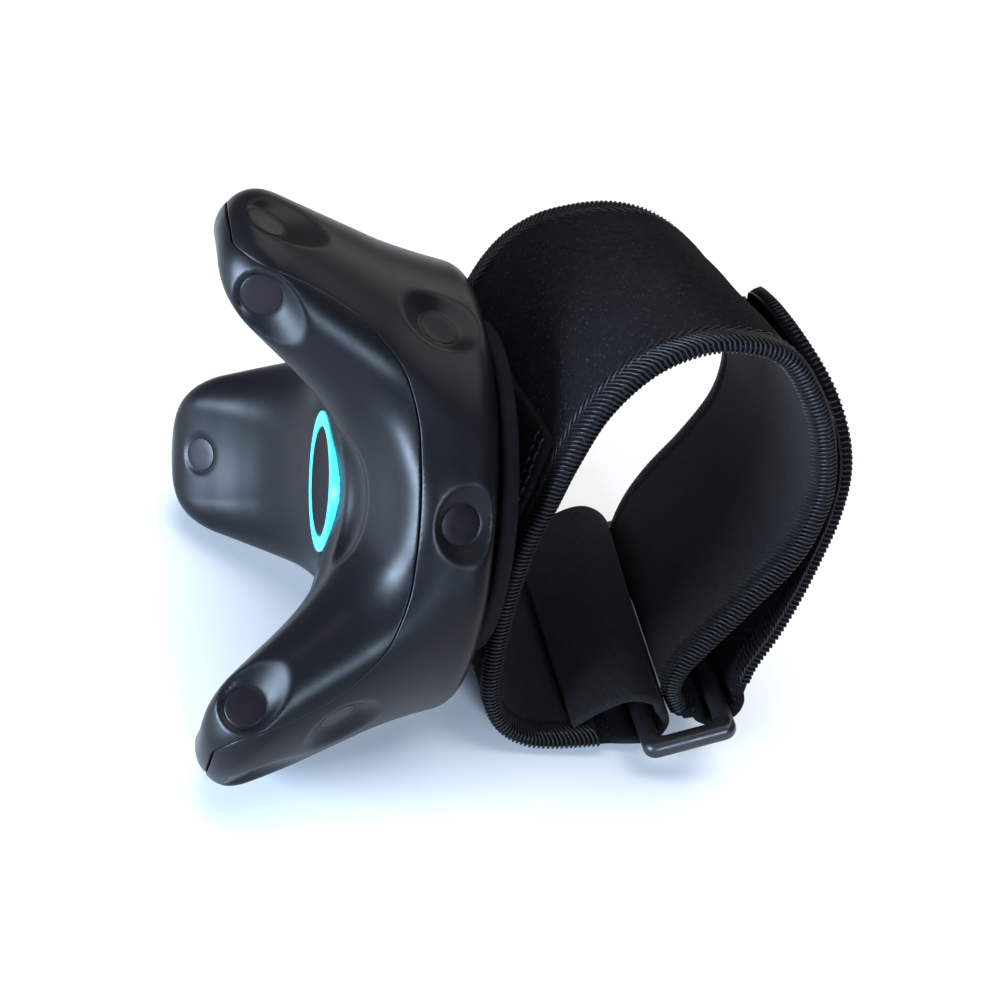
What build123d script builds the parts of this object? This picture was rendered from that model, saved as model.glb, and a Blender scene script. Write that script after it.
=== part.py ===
from build123d import *
import math
import os

# Wrist-worn motion tracker: a three-armed tracking puck, screwed through a mount plate to a
# hook-and-loop wrist strap. It lies on its side, as it is put down on a table.
# Frame: +X runs from the puck to the far side of the strap, +Y runs away from the viewer along
# the axis of the strap, +Z is up. The origin is on the table under the middle of the object.
# The puck has a frame of its own: its z is the axis of the puck and points out of its dished
# face, z = 0 is its base, and its first arm points up. Millimetres throughout.

# ---- Place of the puck -------------------------------------------------------------------
LEAN = 4.6            # the axis of the puck dips this much below the table's plane, degrees
BASE_HEIGHT = 36.0    # centre of the base above the table
BASE_X = -5.6         # centre of the base along X

# ---- Puck: outer form --------------------------------------------------------------------
ARMS = 3
ARM_STEP = 360 / ARMS
GAP_TURN = ARM_STEP / 2
HEIGHT = 42.27
BASE_RADIUS = 28.5
FLARE = 0.55          # the wall widens by this much per millimetre of height
FLARE_ANGLE = math.degrees(math.atan(FLARE))
SEAM_GAP_HEIGHT = 11.7
HUB_TOP = 20.8
WALL = 2.2
ARM_HALF_TOP = 8.0    # half width of an arm along its crest
ARM_END_TOP = 47.8
ARM_SPREAD = 0.28     # arm side walls widen by this much per millimetre down
VALLEY_ROUND = 14.0

# ---- Puck: dishes with sensor windows ----------------------------------------------------
DISH_RADIUS = 5.6
DISH_DEPTH = 1.2
WINDOW_RADIUS = 3.4
WINDOW_THICK = 0.9
WINDOW_SET_IN = 0.3   # the window's pocket below the floor of the dish
SENSOR_RADIUS = 3.0
SENSOR_THICK = 0.8
SENSOR_DEPTH = 3.0    # from the outer face to the sensor board

# ---- Puck: button and light --------------------------------------------------------------
BUTTON_RADIUS = 8.8
BUTTON_GAP = 0.1
BUTTON_TRAVEL = 0.4
BUTTON_THICK = 2.0
STEM_RADIUS = 2.0
STEM_REST = 0.5       # between the stem and the switch
LIGHT_OUTER = 11.2
LIGHT_THICK = 2.6

# ---- Puck: inside ------------------------------------------------------------------------
FRAME_Z = 8.2
FRAME_THICK = 1.2
FRAME_RADIUS = 23.0
BATTERY = (32.0, 20.0, 3.8)
BOARD_Z = 13.6
BOARD_THICK = 1.2
BOARD_RADIUS = 23.0
SWITCH = (5.0, 5.0, 1.6)
CHIP = (7.0, 7.0, 1.0)
RADIO = (6.0, 8.0, 1.4)
MOTION_CHIP = (3.0, 3.0, 1.0)
ANTENNA = (2.0, 9.0, 1.0)
LED = (1.6, 1.6, 0.6)
CHIP_OFFSET = 16.0
FLEX_WIDTH = 4.0
FLEX_THICK = 0.4
CASE_SCREW_OFFSET = 22.5
CASE_SCREW_RADIUS = 1.1
CASE_SCREW_HEAD = 2.0
CASE_SCREW_LENGTH = 9.0
POST_WALL = 0.5
USB_OPENING = (9.0, 3.4)
USB_DEPTH = 6.0
USB_Z = 6.2

# ---- Base interface: quarter-inch thread, locating hole, spring contacts -------------------
THREAD_RADIUS = 3.1   # shank of a 1/4-20 screw over its thread crests, less running clearance
THREAD_BORE = 3.17
INSERT_RADIUS = 4.75
INSERT_LENGTH = 7.5
SCREW_REACH = 6.6     # shank inside the puck
PIN_OFFSET = 14.0
PIN_RADIUS = 1.9
PIN_HOLE = 2.1
PIN_REACH = 2.0
PAD_COUNT = 6
PAD_PITCH = 3.0
PAD_SIZE = (1.6, 3.0, 0.5)
PAD_OFFSET = 20.0
BASE_PAD_THICK = 0.8
BASE_PAD_RADIUS = 26.0
BASE_PAD_HOLE = 8.0

# ---- Mount on the strap --------------------------------------------------------------------
SEAT_GAP = 0.1        # between the pad under the puck and the pad on the strap
MOUNT_PAD_THICK = 1.4
MOUNT_PLATE_THICK = 2.6
MOUNT_PLATE_RADIUS = 27.0
PATCH_THICK = 1.4
PATCH_SIZE = (50.0, 44.0)
PATCH_DROP = 3.0
SCREW_HEAD_RADIUS = 7.5
SCREW_HEAD_THICK = 2.6
SCREW_SLOT = (11.0, 1.6, 1.2)
SCREW_HOLE = 8.4
CLIP_RADIUS = 5.5
CLIP_THICK = 0.6

# ---- Strap -----------------------------------------------------------------------------------
STRAP_WIDTH = 50.0
BAND_THICK = 2.6
BAND_SEAT = 0.4       # between the patch and the band
LINING_THICK = 0.5
BINDING_WIDTH = 1.2
TAIL_THICK = 2.4
HOOK_THICK = 0.8
# ---- Buckle ring ---------------------------------------------------------------------------
RING_CENTRE = (41.6, -30.6)
RING_TURN = 20.0
RING_ACROSS = 16.0
RING_ARM = 6.4        # from the middle of the ring to the middle of either long bar
RING_LENGTH = 59.0
RING_BAR = 3.2
RING_THICK = 3.2
RING_ROUND = 1.4
BAR_SPACE = 1.0       # clear space round a bar inside the webbing
ANCHOR_THICK = 1.6

os.makedirs("parts", exist_ok=True)

lean = math.radians(LEAN)
out_of_face = Vector(-math.cos(lean), 0, -math.sin(lean))
arm_up = Vector(-math.sin(lean), 0, math.cos(lean))
base_centre = Vector(BASE_X, 0, BASE_HEIGHT)
puck = Plane(origin=base_centre, x_dir=arm_up, z_dir=out_of_face)
# Section plane of the strap: its x leads away from the puck, its y is up, and its z comes
# towards the viewer along the axis of the strap.
section = Plane(origin=base_centre, x_dir=out_of_face * -1, z_dir=(0, -1, 0))


def wall_radius(z):
    """Radius of the flared outer wall at a height."""
    return BASE_RADIUS + FLARE * z


def save(piece, label):
    """Labels a finished piece and writes its STEP file."""
    piece.label = label
    export_step(piece, "parts/" + label + ".step")


def place(piece):
    """Takes a piece from the puck's own frame to the object's frame."""
    return puck.location * piece


# ---- Outer form of the puck ------------------------------------------------------------------
def arm_star(z, inset):
    """Plan of the three arms at a height: crest width at the top, wider further down."""
    half = ARM_HALF_TOP + ARM_SPREAD * (HEIGHT - z) - inset
    end = ARM_END_TOP + ARM_SPREAD * (HEIGHT - z) - inset
    with BuildSketch(Plane.XY.offset(z)) as star:
        with PolarLocations(0, ARMS):
            with Locations((end / 2 - half / 2, 0)):
                Rectangle(end - half, half * 2)
            with Locations((end - half, 0)):
                Circle(half)
        valleys = star.vertices().filter_by(
            lambda v: math.hypot(v.X, v.Y) < end - half - 1
        )
        fillet(valleys, VALLEY_ROUND)
    return star


def flared_body(inset):
    """Flared wall with the dished face that rises along the arms."""
    base = inset
    low = wall_radius(base) - inset
    shoulder_z = 36.5 - inset
    steep = inset * 1.4
    with BuildPart() as flared:
        with BuildSketch(Plane.XZ):
            with BuildLine():
                foot = Polyline((0, base), (low, base), (wall_radius(shoulder_z) - inset, shoulder_z))
                tip = Spline(
                    foot @ 1,
                    (49.6 - inset, 39.4 - steep),
                    (45.6 - inset, HEIGHT - steep),
                    tangents=((FLARE, 1), (-1, 0)),
                )
                face = Spline(
                    tip @ 1,
                    (37.5, 36.2 - steep),
                    (26.0, 27.6 - steep),
                    (14.0, 21.7 - inset),
                    (0, HUB_TOP - inset),
                    tangents=((-1, 0), (-1, 0)),
                )
                Line(face @ 1, foot @ 0)
            make_face()
        revolve(axis=Axis.Z)
    return flared


def hub_body(inset):
    """Hub between the arms: flared foot, rounded shoulder and nearly flat top."""
    with BuildPart() as hub:
        with BuildSketch(Plane.XZ):
            with BuildLine():
                foot = Polyline(
                    (0, inset),
                    (wall_radius(inset) - inset, inset),
                    (wall_radius(SEAM_GAP_HEIGHT) - inset, SEAM_GAP_HEIGHT),
                )
                top = Spline(
                    foot @ 1,
                    (31.0 - inset / 2, 17.2 - inset / 2),
                    (24.0, 19.6 - inset),
                    (0, HUB_TOP - inset),
                    tangents=((FLARE / 2, 1), (-1, 0)),
                )
                Line(top @ 1, foot @ 0)
            make_face()
        revolve(axis=Axis.Z)
    return hub


def case_form(inset):
    """The puck's closed outer form, or the cavity when it is set in by the wall."""
    with BuildPart() as form:
        loft([arm_star(0, inset).sketch, arm_star(HEIGHT - inset, inset).sketch], ruled=True)
        add(flared_body(inset).part, mode=Mode.INTERSECT)
        add(hub_body(inset).part)
    return form.part


def above_seam():
    """Everything on the face side of the parting line: low at the gaps, high at the tips."""
    with BuildPart() as sector:
        across = Plane(origin=(0, 0, 0), x_dir=(0, 1, 0), z_dir=(1, 0, 0))
        with BuildSketch(across):
            with BuildLine():
                half = Spline(
                    (0, SEAM_GAP_HEIGHT),
                    (18.5, 14.0),
                    (26.5, 20.5),
                    (31.0, 28.0),
                    (36.0, 39.4),
                    (44.0, 41.0),
                    tangents=((1, 0), (1, 0)),
                )
                Polyline(half @ 1, (44.0, 60), (0, 60), half @ 0)
            make_face()
            mirror(about=Plane.YZ)
        extrude(amount=60)
        with BuildSketch(Plane.XY):
            Polygon((0, 0), (60, 60 * math.tan(math.radians(GAP_TURN))),
                    (60, -60 * math.tan(math.radians(GAP_TURN))), align=None)
        extrude(amount=60, mode=Mode.INTERSECT)
    with BuildPart() as upper:
        with PolarLocations(0, ARMS, start_angle=GAP_TURN):
            add(sector.part)
    return upper.part


def wall_spot(turn, z):
    """Plane on the flared wall, facing outwards."""
    angle = math.radians(turn)
    radius = wall_radius(z)
    slope = math.radians(FLARE_ANGLE)
    outward = (math.cos(angle) * math.cos(slope), math.sin(angle) * math.cos(slope), -math.sin(slope))
    spot = (radius * math.cos(angle), radius * math.sin(angle), z)
    return Plane(origin=spot, x_dir=(-math.sin(angle), math.cos(angle), 0), z_dir=outward)


def face_spot(turn, radius, z, slope_degrees):
    """Plane on the dished face, tipped towards the middle by the slope."""
    angle = math.radians(turn)
    slope = math.radians(slope_degrees)
    normal = (-math.cos(angle) * math.sin(slope), -math.sin(angle) * math.sin(slope), math.cos(slope))
    spot = (radius * math.cos(angle), radius * math.sin(angle), z)
    return Plane(origin=spot, x_dir=(-math.sin(angle), math.cos(angle), 0), z_dir=normal)


ARM_TURNS = [arm * ARM_STEP for arm in range(ARMS)]
GAP_TURNS = [turn + GAP_TURN for turn in ARM_TURNS]
WALL_SPOTS = [wall_spot(turn, z) for turn in ARM_TURNS for z in (6.0, 20.0, 33.5)]
WALL_SPOTS += [wall_spot(turn, 6.0) for turn in GAP_TURNS[1:]]
FACE_SPOTS = [face_spot(turn, 38.0, 36.6, 37.0) for turn in ARM_TURNS]
FACE_SPOTS += [face_spot(turn, 20.0, 20.0, -6.0) for turn in GAP_TURNS]
SPOTS = WALL_SPOTS + FACE_SPOTS


def at_spots(spots, depth, radius, thick):
    """Discs laid in at a depth below each spot."""
    with BuildPart() as discs:
        for spot in spots:
            with BuildSketch(spot.offset(-depth - thick)):
                Circle(radius)
            extrude(amount=thick)
    return discs.part


def dishes(spots):
    """Shallow dishes, each with the pocket for its window."""
    ball = (DISH_RADIUS**2 + DISH_DEPTH**2) / (2 * DISH_DEPTH)
    with BuildPart() as cuts:
        with Locations([spot.offset(ball - DISH_DEPTH).location for spot in spots]):
            Sphere(ball)
        add(at_spots(spots, DISH_DEPTH - WINDOW_THICK, WINDOW_RADIUS, WINDOW_THICK + WINDOW_SET_IN))
    return cuts.part


outer_form = case_form(0)
cavity = case_form(WALL)
face_side = above_seam()
dish_cuts = dishes(SPOTS)

# ---- Top cover -------------------------------------------------------------------------------
with BuildPart() as top_cover:
    add(outer_form)
    add(face_side, mode=Mode.INTERSECT)
    add(cavity, mode=Mode.SUBTRACT)
    add(dish_cuts, mode=Mode.SUBTRACT)
    with Locations((0, 0, HUB_TOP)):
        Cylinder(LIGHT_OUTER, WALL * 4, mode=Mode.SUBTRACT)
save(place(top_cover.part), "top_cover")

# ---- Bottom case with its thread seat, locating hole and sockets -------------------------------
def around(radius, turn):
    """Point on a circle round the puck's axis."""
    return (radius * math.cos(math.radians(turn)), radius * math.sin(math.radians(turn)))


usb_place = around(wall_radius(USB_Z) - USB_DEPTH / 2 - WALL / 2, GAP_TURN)
usb_plane = Plane(origin=(*usb_place, USB_Z), x_dir=(*around(1, GAP_TURN), 0), z_dir=(0, 0, 1))
pad_spread = [(index - (PAD_COUNT - 1) / 2) * PAD_PITCH for index in range(PAD_COUNT)]
pad_places = [(-PAD_OFFSET, side) for side in pad_spread]
case_screw_places = [around(CASE_SCREW_OFFSET, turn + GAP_TURN / 2) for turn in ARM_TURNS]

with BuildPart() as bottom_case:
    add(outer_form)
    add(face_side, mode=Mode.SUBTRACT)
    add(cavity, mode=Mode.SUBTRACT)
    with BuildSketch(Plane.XY.offset(WALL)):
        Circle(INSERT_RADIUS + WALL)
    extrude(amount=INSERT_LENGTH - WALL)
    with BuildSketch(Plane.XY):
        Circle(INSERT_RADIUS)
        with Locations((PIN_OFFSET, 0)):
            Circle(PIN_HOLE)
        with Locations(*case_screw_places):
            Circle(CASE_SCREW_RADIUS)
    extrude(amount=INSERT_LENGTH, mode=Mode.SUBTRACT)
    with BuildSketch(Plane.XY):
        with Locations(*case_screw_places):
            Circle(CASE_SCREW_HEAD)
    extrude(amount=WALL / 2, mode=Mode.SUBTRACT)
    with BuildSketch(Plane.XY):
        with Locations(*pad_places):
            Rectangle(PAD_SIZE[1], PAD_SIZE[0])
    extrude(amount=PAD_SIZE[2], mode=Mode.SUBTRACT)
    with Locations(usb_plane.location):
        Box(USB_DEPTH * 3, *USB_OPENING, mode=Mode.SUBTRACT)
    add(dish_cuts, mode=Mode.SUBTRACT)
save(place(bottom_case.part), "bottom_case")

# ---- Screw posts under the top cover: they carry the boards and take the case screws ---------
POST_TOP = 18.0
with BuildPart() as screw_posts:
    with BuildSketch(Plane.XY.offset(WALL)):
        with Locations(*case_screw_places):
            Circle(CASE_SCREW_HEAD + POST_WALL)
            Circle(CASE_SCREW_RADIUS, mode=Mode.SUBTRACT)
    extrude(amount=POST_TOP - WALL)
    add(top_cover.part, mode=Mode.SUBTRACT)
save(place(screw_posts.part), "screw_posts")

with BuildPart() as case_screws:
    with BuildSketch(Plane.XY):
        with Locations(*case_screw_places):
            Circle(CASE_SCREW_HEAD)
    extrude(amount=WALL / 2)
    with BuildSketch(Plane.XY):
        with Locations(*case_screw_places):
            Circle(CASE_SCREW_RADIUS)
    extrude(amount=CASE_SCREW_LENGTH)
    with BuildSketch(Plane.XY):
        with Locations(*case_screw_places):
            RegularPolygon(CASE_SCREW_RADIUS / 2, 6)
    extrude(amount=WALL / 4, mode=Mode.SUBTRACT)
save(place(case_screws.part), "case_screws")

# ---- Power button and the ring of light round it -----------------------------------------------
BUTTON_FLANGE = 0.9
SWITCH_TOP = BOARD_Z + BOARD_THICK + SWITCH[2]
BUTTON_FOOT = HUB_TOP - LIGHT_THICK - BUTTON_GAP
with BuildPart() as power_button:
    with BuildSketch(Plane.XY.offset(BUTTON_FOOT - BUTTON_FLANGE)):
        Circle(BUTTON_RADIUS + BUTTON_FLANGE)
    extrude(amount=BUTTON_FLANGE)
    with BuildSketch(Plane.XY.offset(BUTTON_FOOT)):
        Circle(BUTTON_RADIUS)
    extrude(amount=LIGHT_THICK + BUTTON_GAP)
    fillet(power_button.edges().sort_by(Axis.Z)[-1], BUTTON_GAP * 4)
    with BuildSketch(Plane.XY.offset(SWITCH_TOP + STEM_REST)):
        Circle(STEM_RADIUS)
    extrude(amount=BUTTON_FOOT - BUTTON_FLANGE - SWITCH_TOP - STEM_REST)
save(place(power_button.part), "power_button")

LIGHT_FLANGE = 1.0
with BuildPart() as light_ring:
    with BuildSketch(Plane.XY.offset(HUB_TOP - LIGHT_THICK)):
        Circle(LIGHT_OUTER)
    extrude(amount=LIGHT_THICK)
    with BuildSketch(Plane.XY.offset(HUB_TOP - LIGHT_THICK)):
        Circle(LIGHT_OUTER + LIGHT_FLANGE)
    extrude(amount=LIGHT_THICK / 10)
    with BuildSketch(Plane.XY.offset(HUB_TOP - LIGHT_THICK)):
        Circle(BUTTON_RADIUS + BUTTON_GAP)
    extrude(amount=LIGHT_THICK, mode=Mode.SUBTRACT)
save(place(light_ring.part), "light_ring")


# ---- Boards, battery and chips -----------------------------------------------------------------
def plate_with_notches(z, radius, thick):
    """Round plate that clears the three screw posts."""
    with BuildPart() as plate:
        with BuildSketch(Plane.XY.offset(z)):
            Circle(radius)
            with Locations(*case_screw_places):
                Circle(CASE_SCREW_HEAD + POST_WALL + BUTTON_GAP, mode=Mode.SUBTRACT)
        extrude(amount=thick)
    return plate.part


def block(centre, z, size, turn=0.0):
    """Rectangular component that stands on a surface at z."""
    with BuildPart() as component:
        with BuildSketch(Plane.XY.offset(z)):
            with Locations(Location((*centre, 0), (0, 0, turn))):
                Rectangle(size[0], size[1])
        extrude(amount=size[2])
    return component.part


board_top = BOARD_Z + BOARD_THICK
LEG_OFFSET = 12.0
with BuildPart() as inner_frame:
    add(plate_with_notches(FRAME_Z, FRAME_RADIUS, FRAME_THICK))
    with BuildSketch(Plane.XY.offset(WALL)):
        with PolarLocations(LEG_OFFSET, ARMS, start_angle=90):
            Circle(CASE_SCREW_HEAD)
    extrude(amount=FRAME_Z - WALL)
save(place(inner_frame.part), "inner_frame")

with BuildPart() as battery:
    add(block((0, 0), FRAME_Z + FRAME_THICK, BATTERY))
    fillet(battery.edges().filter_by(Axis.Z), WALL / 2)
save(place(battery.part), "battery")

save(place(plate_with_notches(BOARD_Z, BOARD_RADIUS, BOARD_THICK)), "main_board")

with BuildPart() as tact_switch:
    add(block((0, 0), board_top, (SWITCH[0], SWITCH[1], SWITCH[2] - BUTTON_TRAVEL)))
    with BuildSketch(Plane.XY.offset(board_top)):
        Circle(STEM_RADIUS / 2)
    extrude(amount=SWITCH[2])
save(place(tact_switch.part), "tact_switch")

save(place(block(around(CHIP_OFFSET, 0), board_top, CHIP)), "processor_chip")
save(place(block(around(CHIP_OFFSET, ARM_STEP), board_top, RADIO, ARM_STEP)), "radio_module")
save(place(block(around(CHIP_OFFSET, -ARM_STEP), board_top, MOTION_CHIP, -ARM_STEP)), "motion_sensor")
antenna_turn = -ARM_STEP - GAP_TURN / 2
save(place(block(around(CHIP_OFFSET + WALL, antenna_turn), board_top, ANTENNA, antenna_turn)), "antenna")

LED_OFFSET = (BUTTON_RADIUS + LIGHT_OUTER) / 2
with BuildPart() as status_leds:
    for turn in GAP_TURNS:
        add(block(around(LED_OFFSET, turn), board_top, LED, turn))
save(place(status_leds.part), "status_leds")

# ---- USB inlet, contact board and base contacts --------------------------------------------------
USB_SHELL = (USB_DEPTH, 7.6, 2.8)
USB_WALL = 0.4
with BuildPart() as usb_port:
    with Locations(usb_plane.location):
        Box(*USB_SHELL)
    with Locations(usb_plane.location * Location((USB_WALL * 2, 0, 0))):
        Box(USB_DEPTH, USB_SHELL[1] - USB_WALL * 2, USB_SHELL[2] - USB_WALL * 2, mode=Mode.SUBTRACT)
save(place(usb_port.part), "usb_port")

USB_BOARD = (9.0, 12.0, 0.8)
usb_board_z = USB_Z - USB_SHELL[2] / 2 - USB_BOARD[2]
save(place(block(around(LEG_OFFSET + FRAME_Z, GAP_TURN), usb_board_z, USB_BOARD, GAP_TURN)), "usb_board")

CONTACT_BOARD = (6.0, 17.0, 0.8)
save(place(block((-PAD_OFFSET, 0), WALL, CONTACT_BOARD)), "contact_board")

with BuildPart() as contact_pads:
    for pad_place in pad_places:
        add(block(pad_place, 0, (PAD_SIZE[1], PAD_SIZE[0], PAD_SIZE[2])))
save(place(contact_pads.part), "contact_pads")

with BuildPart() as threaded_insert:
    with BuildSketch(Plane.XY):
        Circle(INSERT_RADIUS)
        Circle(THREAD_BORE, mode=Mode.SUBTRACT)
    extrude(amount=INSERT_LENGTH)
save(place(threaded_insert.part), "threaded_insert")

with BuildPart() as base_pad:
    with BuildSketch(Plane.XY.offset(-BASE_PAD_THICK)):
        Circle(BASE_PAD_RADIUS)
        Circle(BASE_PAD_HOLE, mode=Mode.SUBTRACT)
        with Locations((PIN_OFFSET, 0)):
            Circle(PIN_HOLE, mode=Mode.SUBTRACT)
        with Locations((-PAD_OFFSET, 0)):
            Rectangle(PAD_SIZE[1] + 1, PAD_PITCH * PAD_COUNT, mode=Mode.SUBTRACT)
    extrude(amount=BASE_PAD_THICK)
save(place(base_pad.part), "base_pad")

# ---- Sensor windows and boards, and the ribbon to each arm -----------------------------------------
save(place(at_spots(SPOTS, DISH_DEPTH - WINDOW_THICK + WINDOW_SET_IN, WINDOW_RADIUS, WINDOW_THICK)),
     "sensor_windows")
save(place(at_spots(SPOTS, SENSOR_DEPTH, SENSOR_RADIUS, SENSOR_THICK)), "sensor_boards")

for turn, side in zip(ARM_TURNS, ("up", "far", "near")):
    with BuildPart() as ribbon:
        along = Plane(origin=(0, 0, 0), x_dir=(*around(1, turn), 0), z_dir=(*around(1, turn - 90), 0))
        with BuildSketch(along):
            with BuildLine():
                FilletPolyline((20.5, 15.4), (25.0, 16.0), (30.5, 20.2), (37.0, 28.0), radius=WALL)
            trace(line_width=FLEX_THICK)
        extrude(amount=FLEX_WIDTH / 2, both=True)
    save(place(ribbon.part), "flex_ribbon_" + side)

# ---- Mount stack between the puck and the strap ------------------------------------------------------
pad_face = -BASE_PAD_THICK - SEAT_GAP
plate_face = pad_face - MOUNT_PAD_THICK
plate_back = plate_face - MOUNT_PLATE_THICK
patch_back = plate_back - PATCH_THICK
PIN_CLEAR = 0.3

with BuildPart() as mount_pad:
    with BuildSketch(Plane.XY.offset(plate_face)):
        Circle(BASE_PAD_RADIUS - WALL)
        Circle(BASE_PAD_HOLE, mode=Mode.SUBTRACT)
        with Locations((PIN_OFFSET, 0)):
            Circle(PIN_RADIUS + PIN_CLEAR, mode=Mode.SUBTRACT)
    extrude(amount=MOUNT_PAD_THICK)
save(place(mount_pad.part), "mount_pad")

with BuildPart() as mount_plate:
    with BuildSketch(Plane.XY.offset(plate_back)):
        Circle(MOUNT_PLATE_RADIUS)
    extrude(amount=MOUNT_PLATE_THICK)
    fillet(mount_plate.edges(), MOUNT_PLATE_THICK / 3)
    with BuildSketch(Plane.XY.offset(plate_back)):
        Circle(THREAD_BORE)
        with Locations((PIN_OFFSET, 0)):
            Circle(PIN_RADIUS)
    extrude(amount=MOUNT_PLATE_THICK, mode=Mode.SUBTRACT)
save(place(mount_plate.part), "mount_plate")

with BuildPart() as locating_pin:
    with BuildSketch(Plane.XY.offset(plate_back)):
        with Locations((PIN_OFFSET, 0)):
            Circle(PIN_RADIUS)
    extrude(amount=PIN_REACH - plate_back)
    chamfer(locating_pin.edges().sort_by(Axis.Z)[-1], PIN_CLEAR)
save(place(locating_pin.part), "locating_pin")

CLIP_GAP = 0.05
with BuildPart() as mount_screw:
    with BuildSketch(Plane.XY.offset(plate_back - CLIP_GAP - SCREW_HEAD_THICK)):
        Circle(SCREW_HEAD_RADIUS)
    extrude(amount=SCREW_HEAD_THICK)
    fillet(mount_screw.edges().sort_by(Axis.Z)[0], PIN_CLEAR * 2)
    with BuildSketch(Plane.XY.offset(plate_back - CLIP_GAP)):
        Circle(THREAD_RADIUS)
    extrude(amount=SCREW_REACH - plate_back + CLIP_GAP)
    chamfer(mount_screw.edges().sort_by(Axis.Z)[-1], PIN_CLEAR * 2)
    with BuildSketch(Plane.XY.offset(plate_back - CLIP_GAP - SCREW_HEAD_THICK)):
        Rectangle(SCREW_SLOT[0], SCREW_SLOT[1])
    extrude(amount=SCREW_SLOT[2], mode=Mode.SUBTRACT)
save(place(mount_screw.part), "mount_screw")

with BuildPart() as screw_clip:
    with BuildSketch(Plane.XY.offset(plate_face + CLIP_GAP)):
        Circle(CLIP_RADIUS)
        Circle(THREAD_RADIUS, mode=Mode.SUBTRACT)
    extrude(amount=CLIP_THICK)
save(place(screw_clip.part), "screw_clip")

with BuildPart() as mount_patch:
    with BuildSketch(Plane.XY.offset(patch_back)):
        with Locations((-PATCH_DROP, 0)):
            RectangleRounded(*PATCH_SIZE, WALL * 2)
        Circle(SCREW_HOLE, mode=Mode.SUBTRACT)
    extrude(amount=PATCH_THICK)
save(place(mount_patch.part), "mount_patch")

# ---- Strap: one band of padded loop fabric, lined inside and bound along both edges ------------------
band_left = -patch_back + BAND_THICK / 2 + BAND_SEAT
left_bar = (RING_CENTRE[0] - RING_ARM * math.cos(math.radians(RING_TURN)),
            RING_CENTRE[1] - RING_ARM * math.sin(math.radians(RING_TURN)))
right_bar = (RING_CENTRE[0] + RING_ARM * math.cos(math.radians(RING_TURN)),
             RING_CENTRE[1] + RING_ARM * math.sin(math.radians(RING_TURN)))
bar_hollow = RING_BAR / 2 + BAR_SPACE
anchor_outer = bar_hollow + ANCHOR_THICK
fold_outer = bar_hollow + TAIL_THICK


def rest_line(along):
    """Height on the section plane at which the band lies flat on the table."""
    level = BAND_THICK / 2 - BASE_HEIGHT - along * math.sin(lean)
    return level / math.cos(lean)


FLAT_FROM = 32.0      # the band lies flat on the table between these places
FLAT_TO = 15.0
SIDE_STEPS = 26       # stations along the band at which its two faces are set off

with BuildLine() as wrap:
    Spline(
        (FLAT_TO, rest_line(FLAT_TO)),
        (9.8, -33.2),
        (band_left, -26.0),
        (band_left, -11.0),
        (band_left, 4.0),
        (9.6, 19.0),
        (14.5, 32.0),
        (23.0, 41.0),
        (33.0, 43.8),
        (43.0, 39.6),
        (50.0, 29.0),
        (52.8, 14.0),
        (51.0, 0.0),
        (46.4, -11.0),
        (44.4, -17.5),
        (44.6, -24.2),
    )


def band_face(inward):
    """Points of the band's middle line, set off towards the wearer by a distance."""
    points = []
    for step in range(SIDE_STEPS + 1):
        at = step / SIDE_STEPS
        along = wrap.line % at
        points.append(wrap.line @ at + Vector(along.Y, -along.X, 0) * inward)
    return points


def band_section(inner, outer, offset):
    """Section between two faces set off from the band's middle line, both towards the wearer."""
    flat_back = Vector(math.cos(lean), -math.sin(lean)) * (FLAT_FROM - FLAT_TO)
    ends = []
    with BuildSketch(section.offset(offset)) as cut:
        with BuildLine():
            faces = [Spline(*band_face(inner)), Spline(*band_face(outer))]
            for face in faces:
                flat = Line(face @ 0, face @ 0 + flat_back)
                ends.append(flat @ 1)
            Line(ends[0], ends[1])
            Line(faces[0] @ 1, faces[1] @ 1)
        make_face()
        with Locations(left_bar):
            Circle(anchor_outer, mode=Mode.SUBTRACT)
        with Locations(right_bar):
            Circle(fold_outer, mode=Mode.SUBTRACT)
    return cut.sketch


def screw_passage():
    """Hole behind the mount plate that takes the screw's head."""
    with BuildPart() as hole:
        with BuildSketch(Plane.XY.offset(patch_back - BAND_THICK - WALL)):
            Circle(SCREW_HOLE)
        extrude(amount=BAND_THICK + WALL)
    return place(hole.part)


band_skin = BAND_THICK / 2
band_half = STRAP_WIDTH / 2 - BINDING_WIDTH
lining_half = band_half - BINDING_WIDTH
passage = screw_passage()

with BuildPart() as strap_band:
    extrude(band_section(band_skin, -band_skin, -band_half), amount=band_half * 2, dir=section.z_dir)
    add(passage, mode=Mode.SUBTRACT)
save(strap_band.part, "strap_band")

with BuildPart() as band_lining:
    extrude(band_section(band_skin + LINING_THICK, band_skin, -lining_half),
            amount=lining_half * 2, dir=section.z_dir)
    add(passage, mode=Mode.SUBTRACT)
save(band_lining.part, "band_lining")

for side, start in (("near", band_half), ("far", -STRAP_WIDTH / 2)):
    with BuildPart() as binding:
        extrude(band_section(band_skin + LINING_THICK, -band_skin, start),
                amount=BINDING_WIDTH, dir=section.z_dir)
    save(binding.part, "edge_binding_" + side)

# ---- Webbing loops round the ring's bars ---------------------------------------------------------------
ANCHOR_WIDTH = 46.0


def bar_loop(bar, outer):
    """Ring of webbing round one bar of the buckle ring."""
    with BuildPart() as loop:
        with BuildSketch(section):
            with Locations(bar):
                Circle(outer)
                Circle(bar_hollow, mode=Mode.SUBTRACT)
        extrude(amount=ANCHOR_WIDTH / 2, both=True)
    return loop


save(bar_loop(left_bar, anchor_outer).part, "anchor_loop")

# The fold runs under the bar from the band's end to the tail's root, where the tail turns.
ROOT_TURN = 25.0
BAND_END_TURN = 110.0
ROOT_GAP = 0.3
fold_middle = bar_hollow + TAIL_THICK / 2


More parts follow.
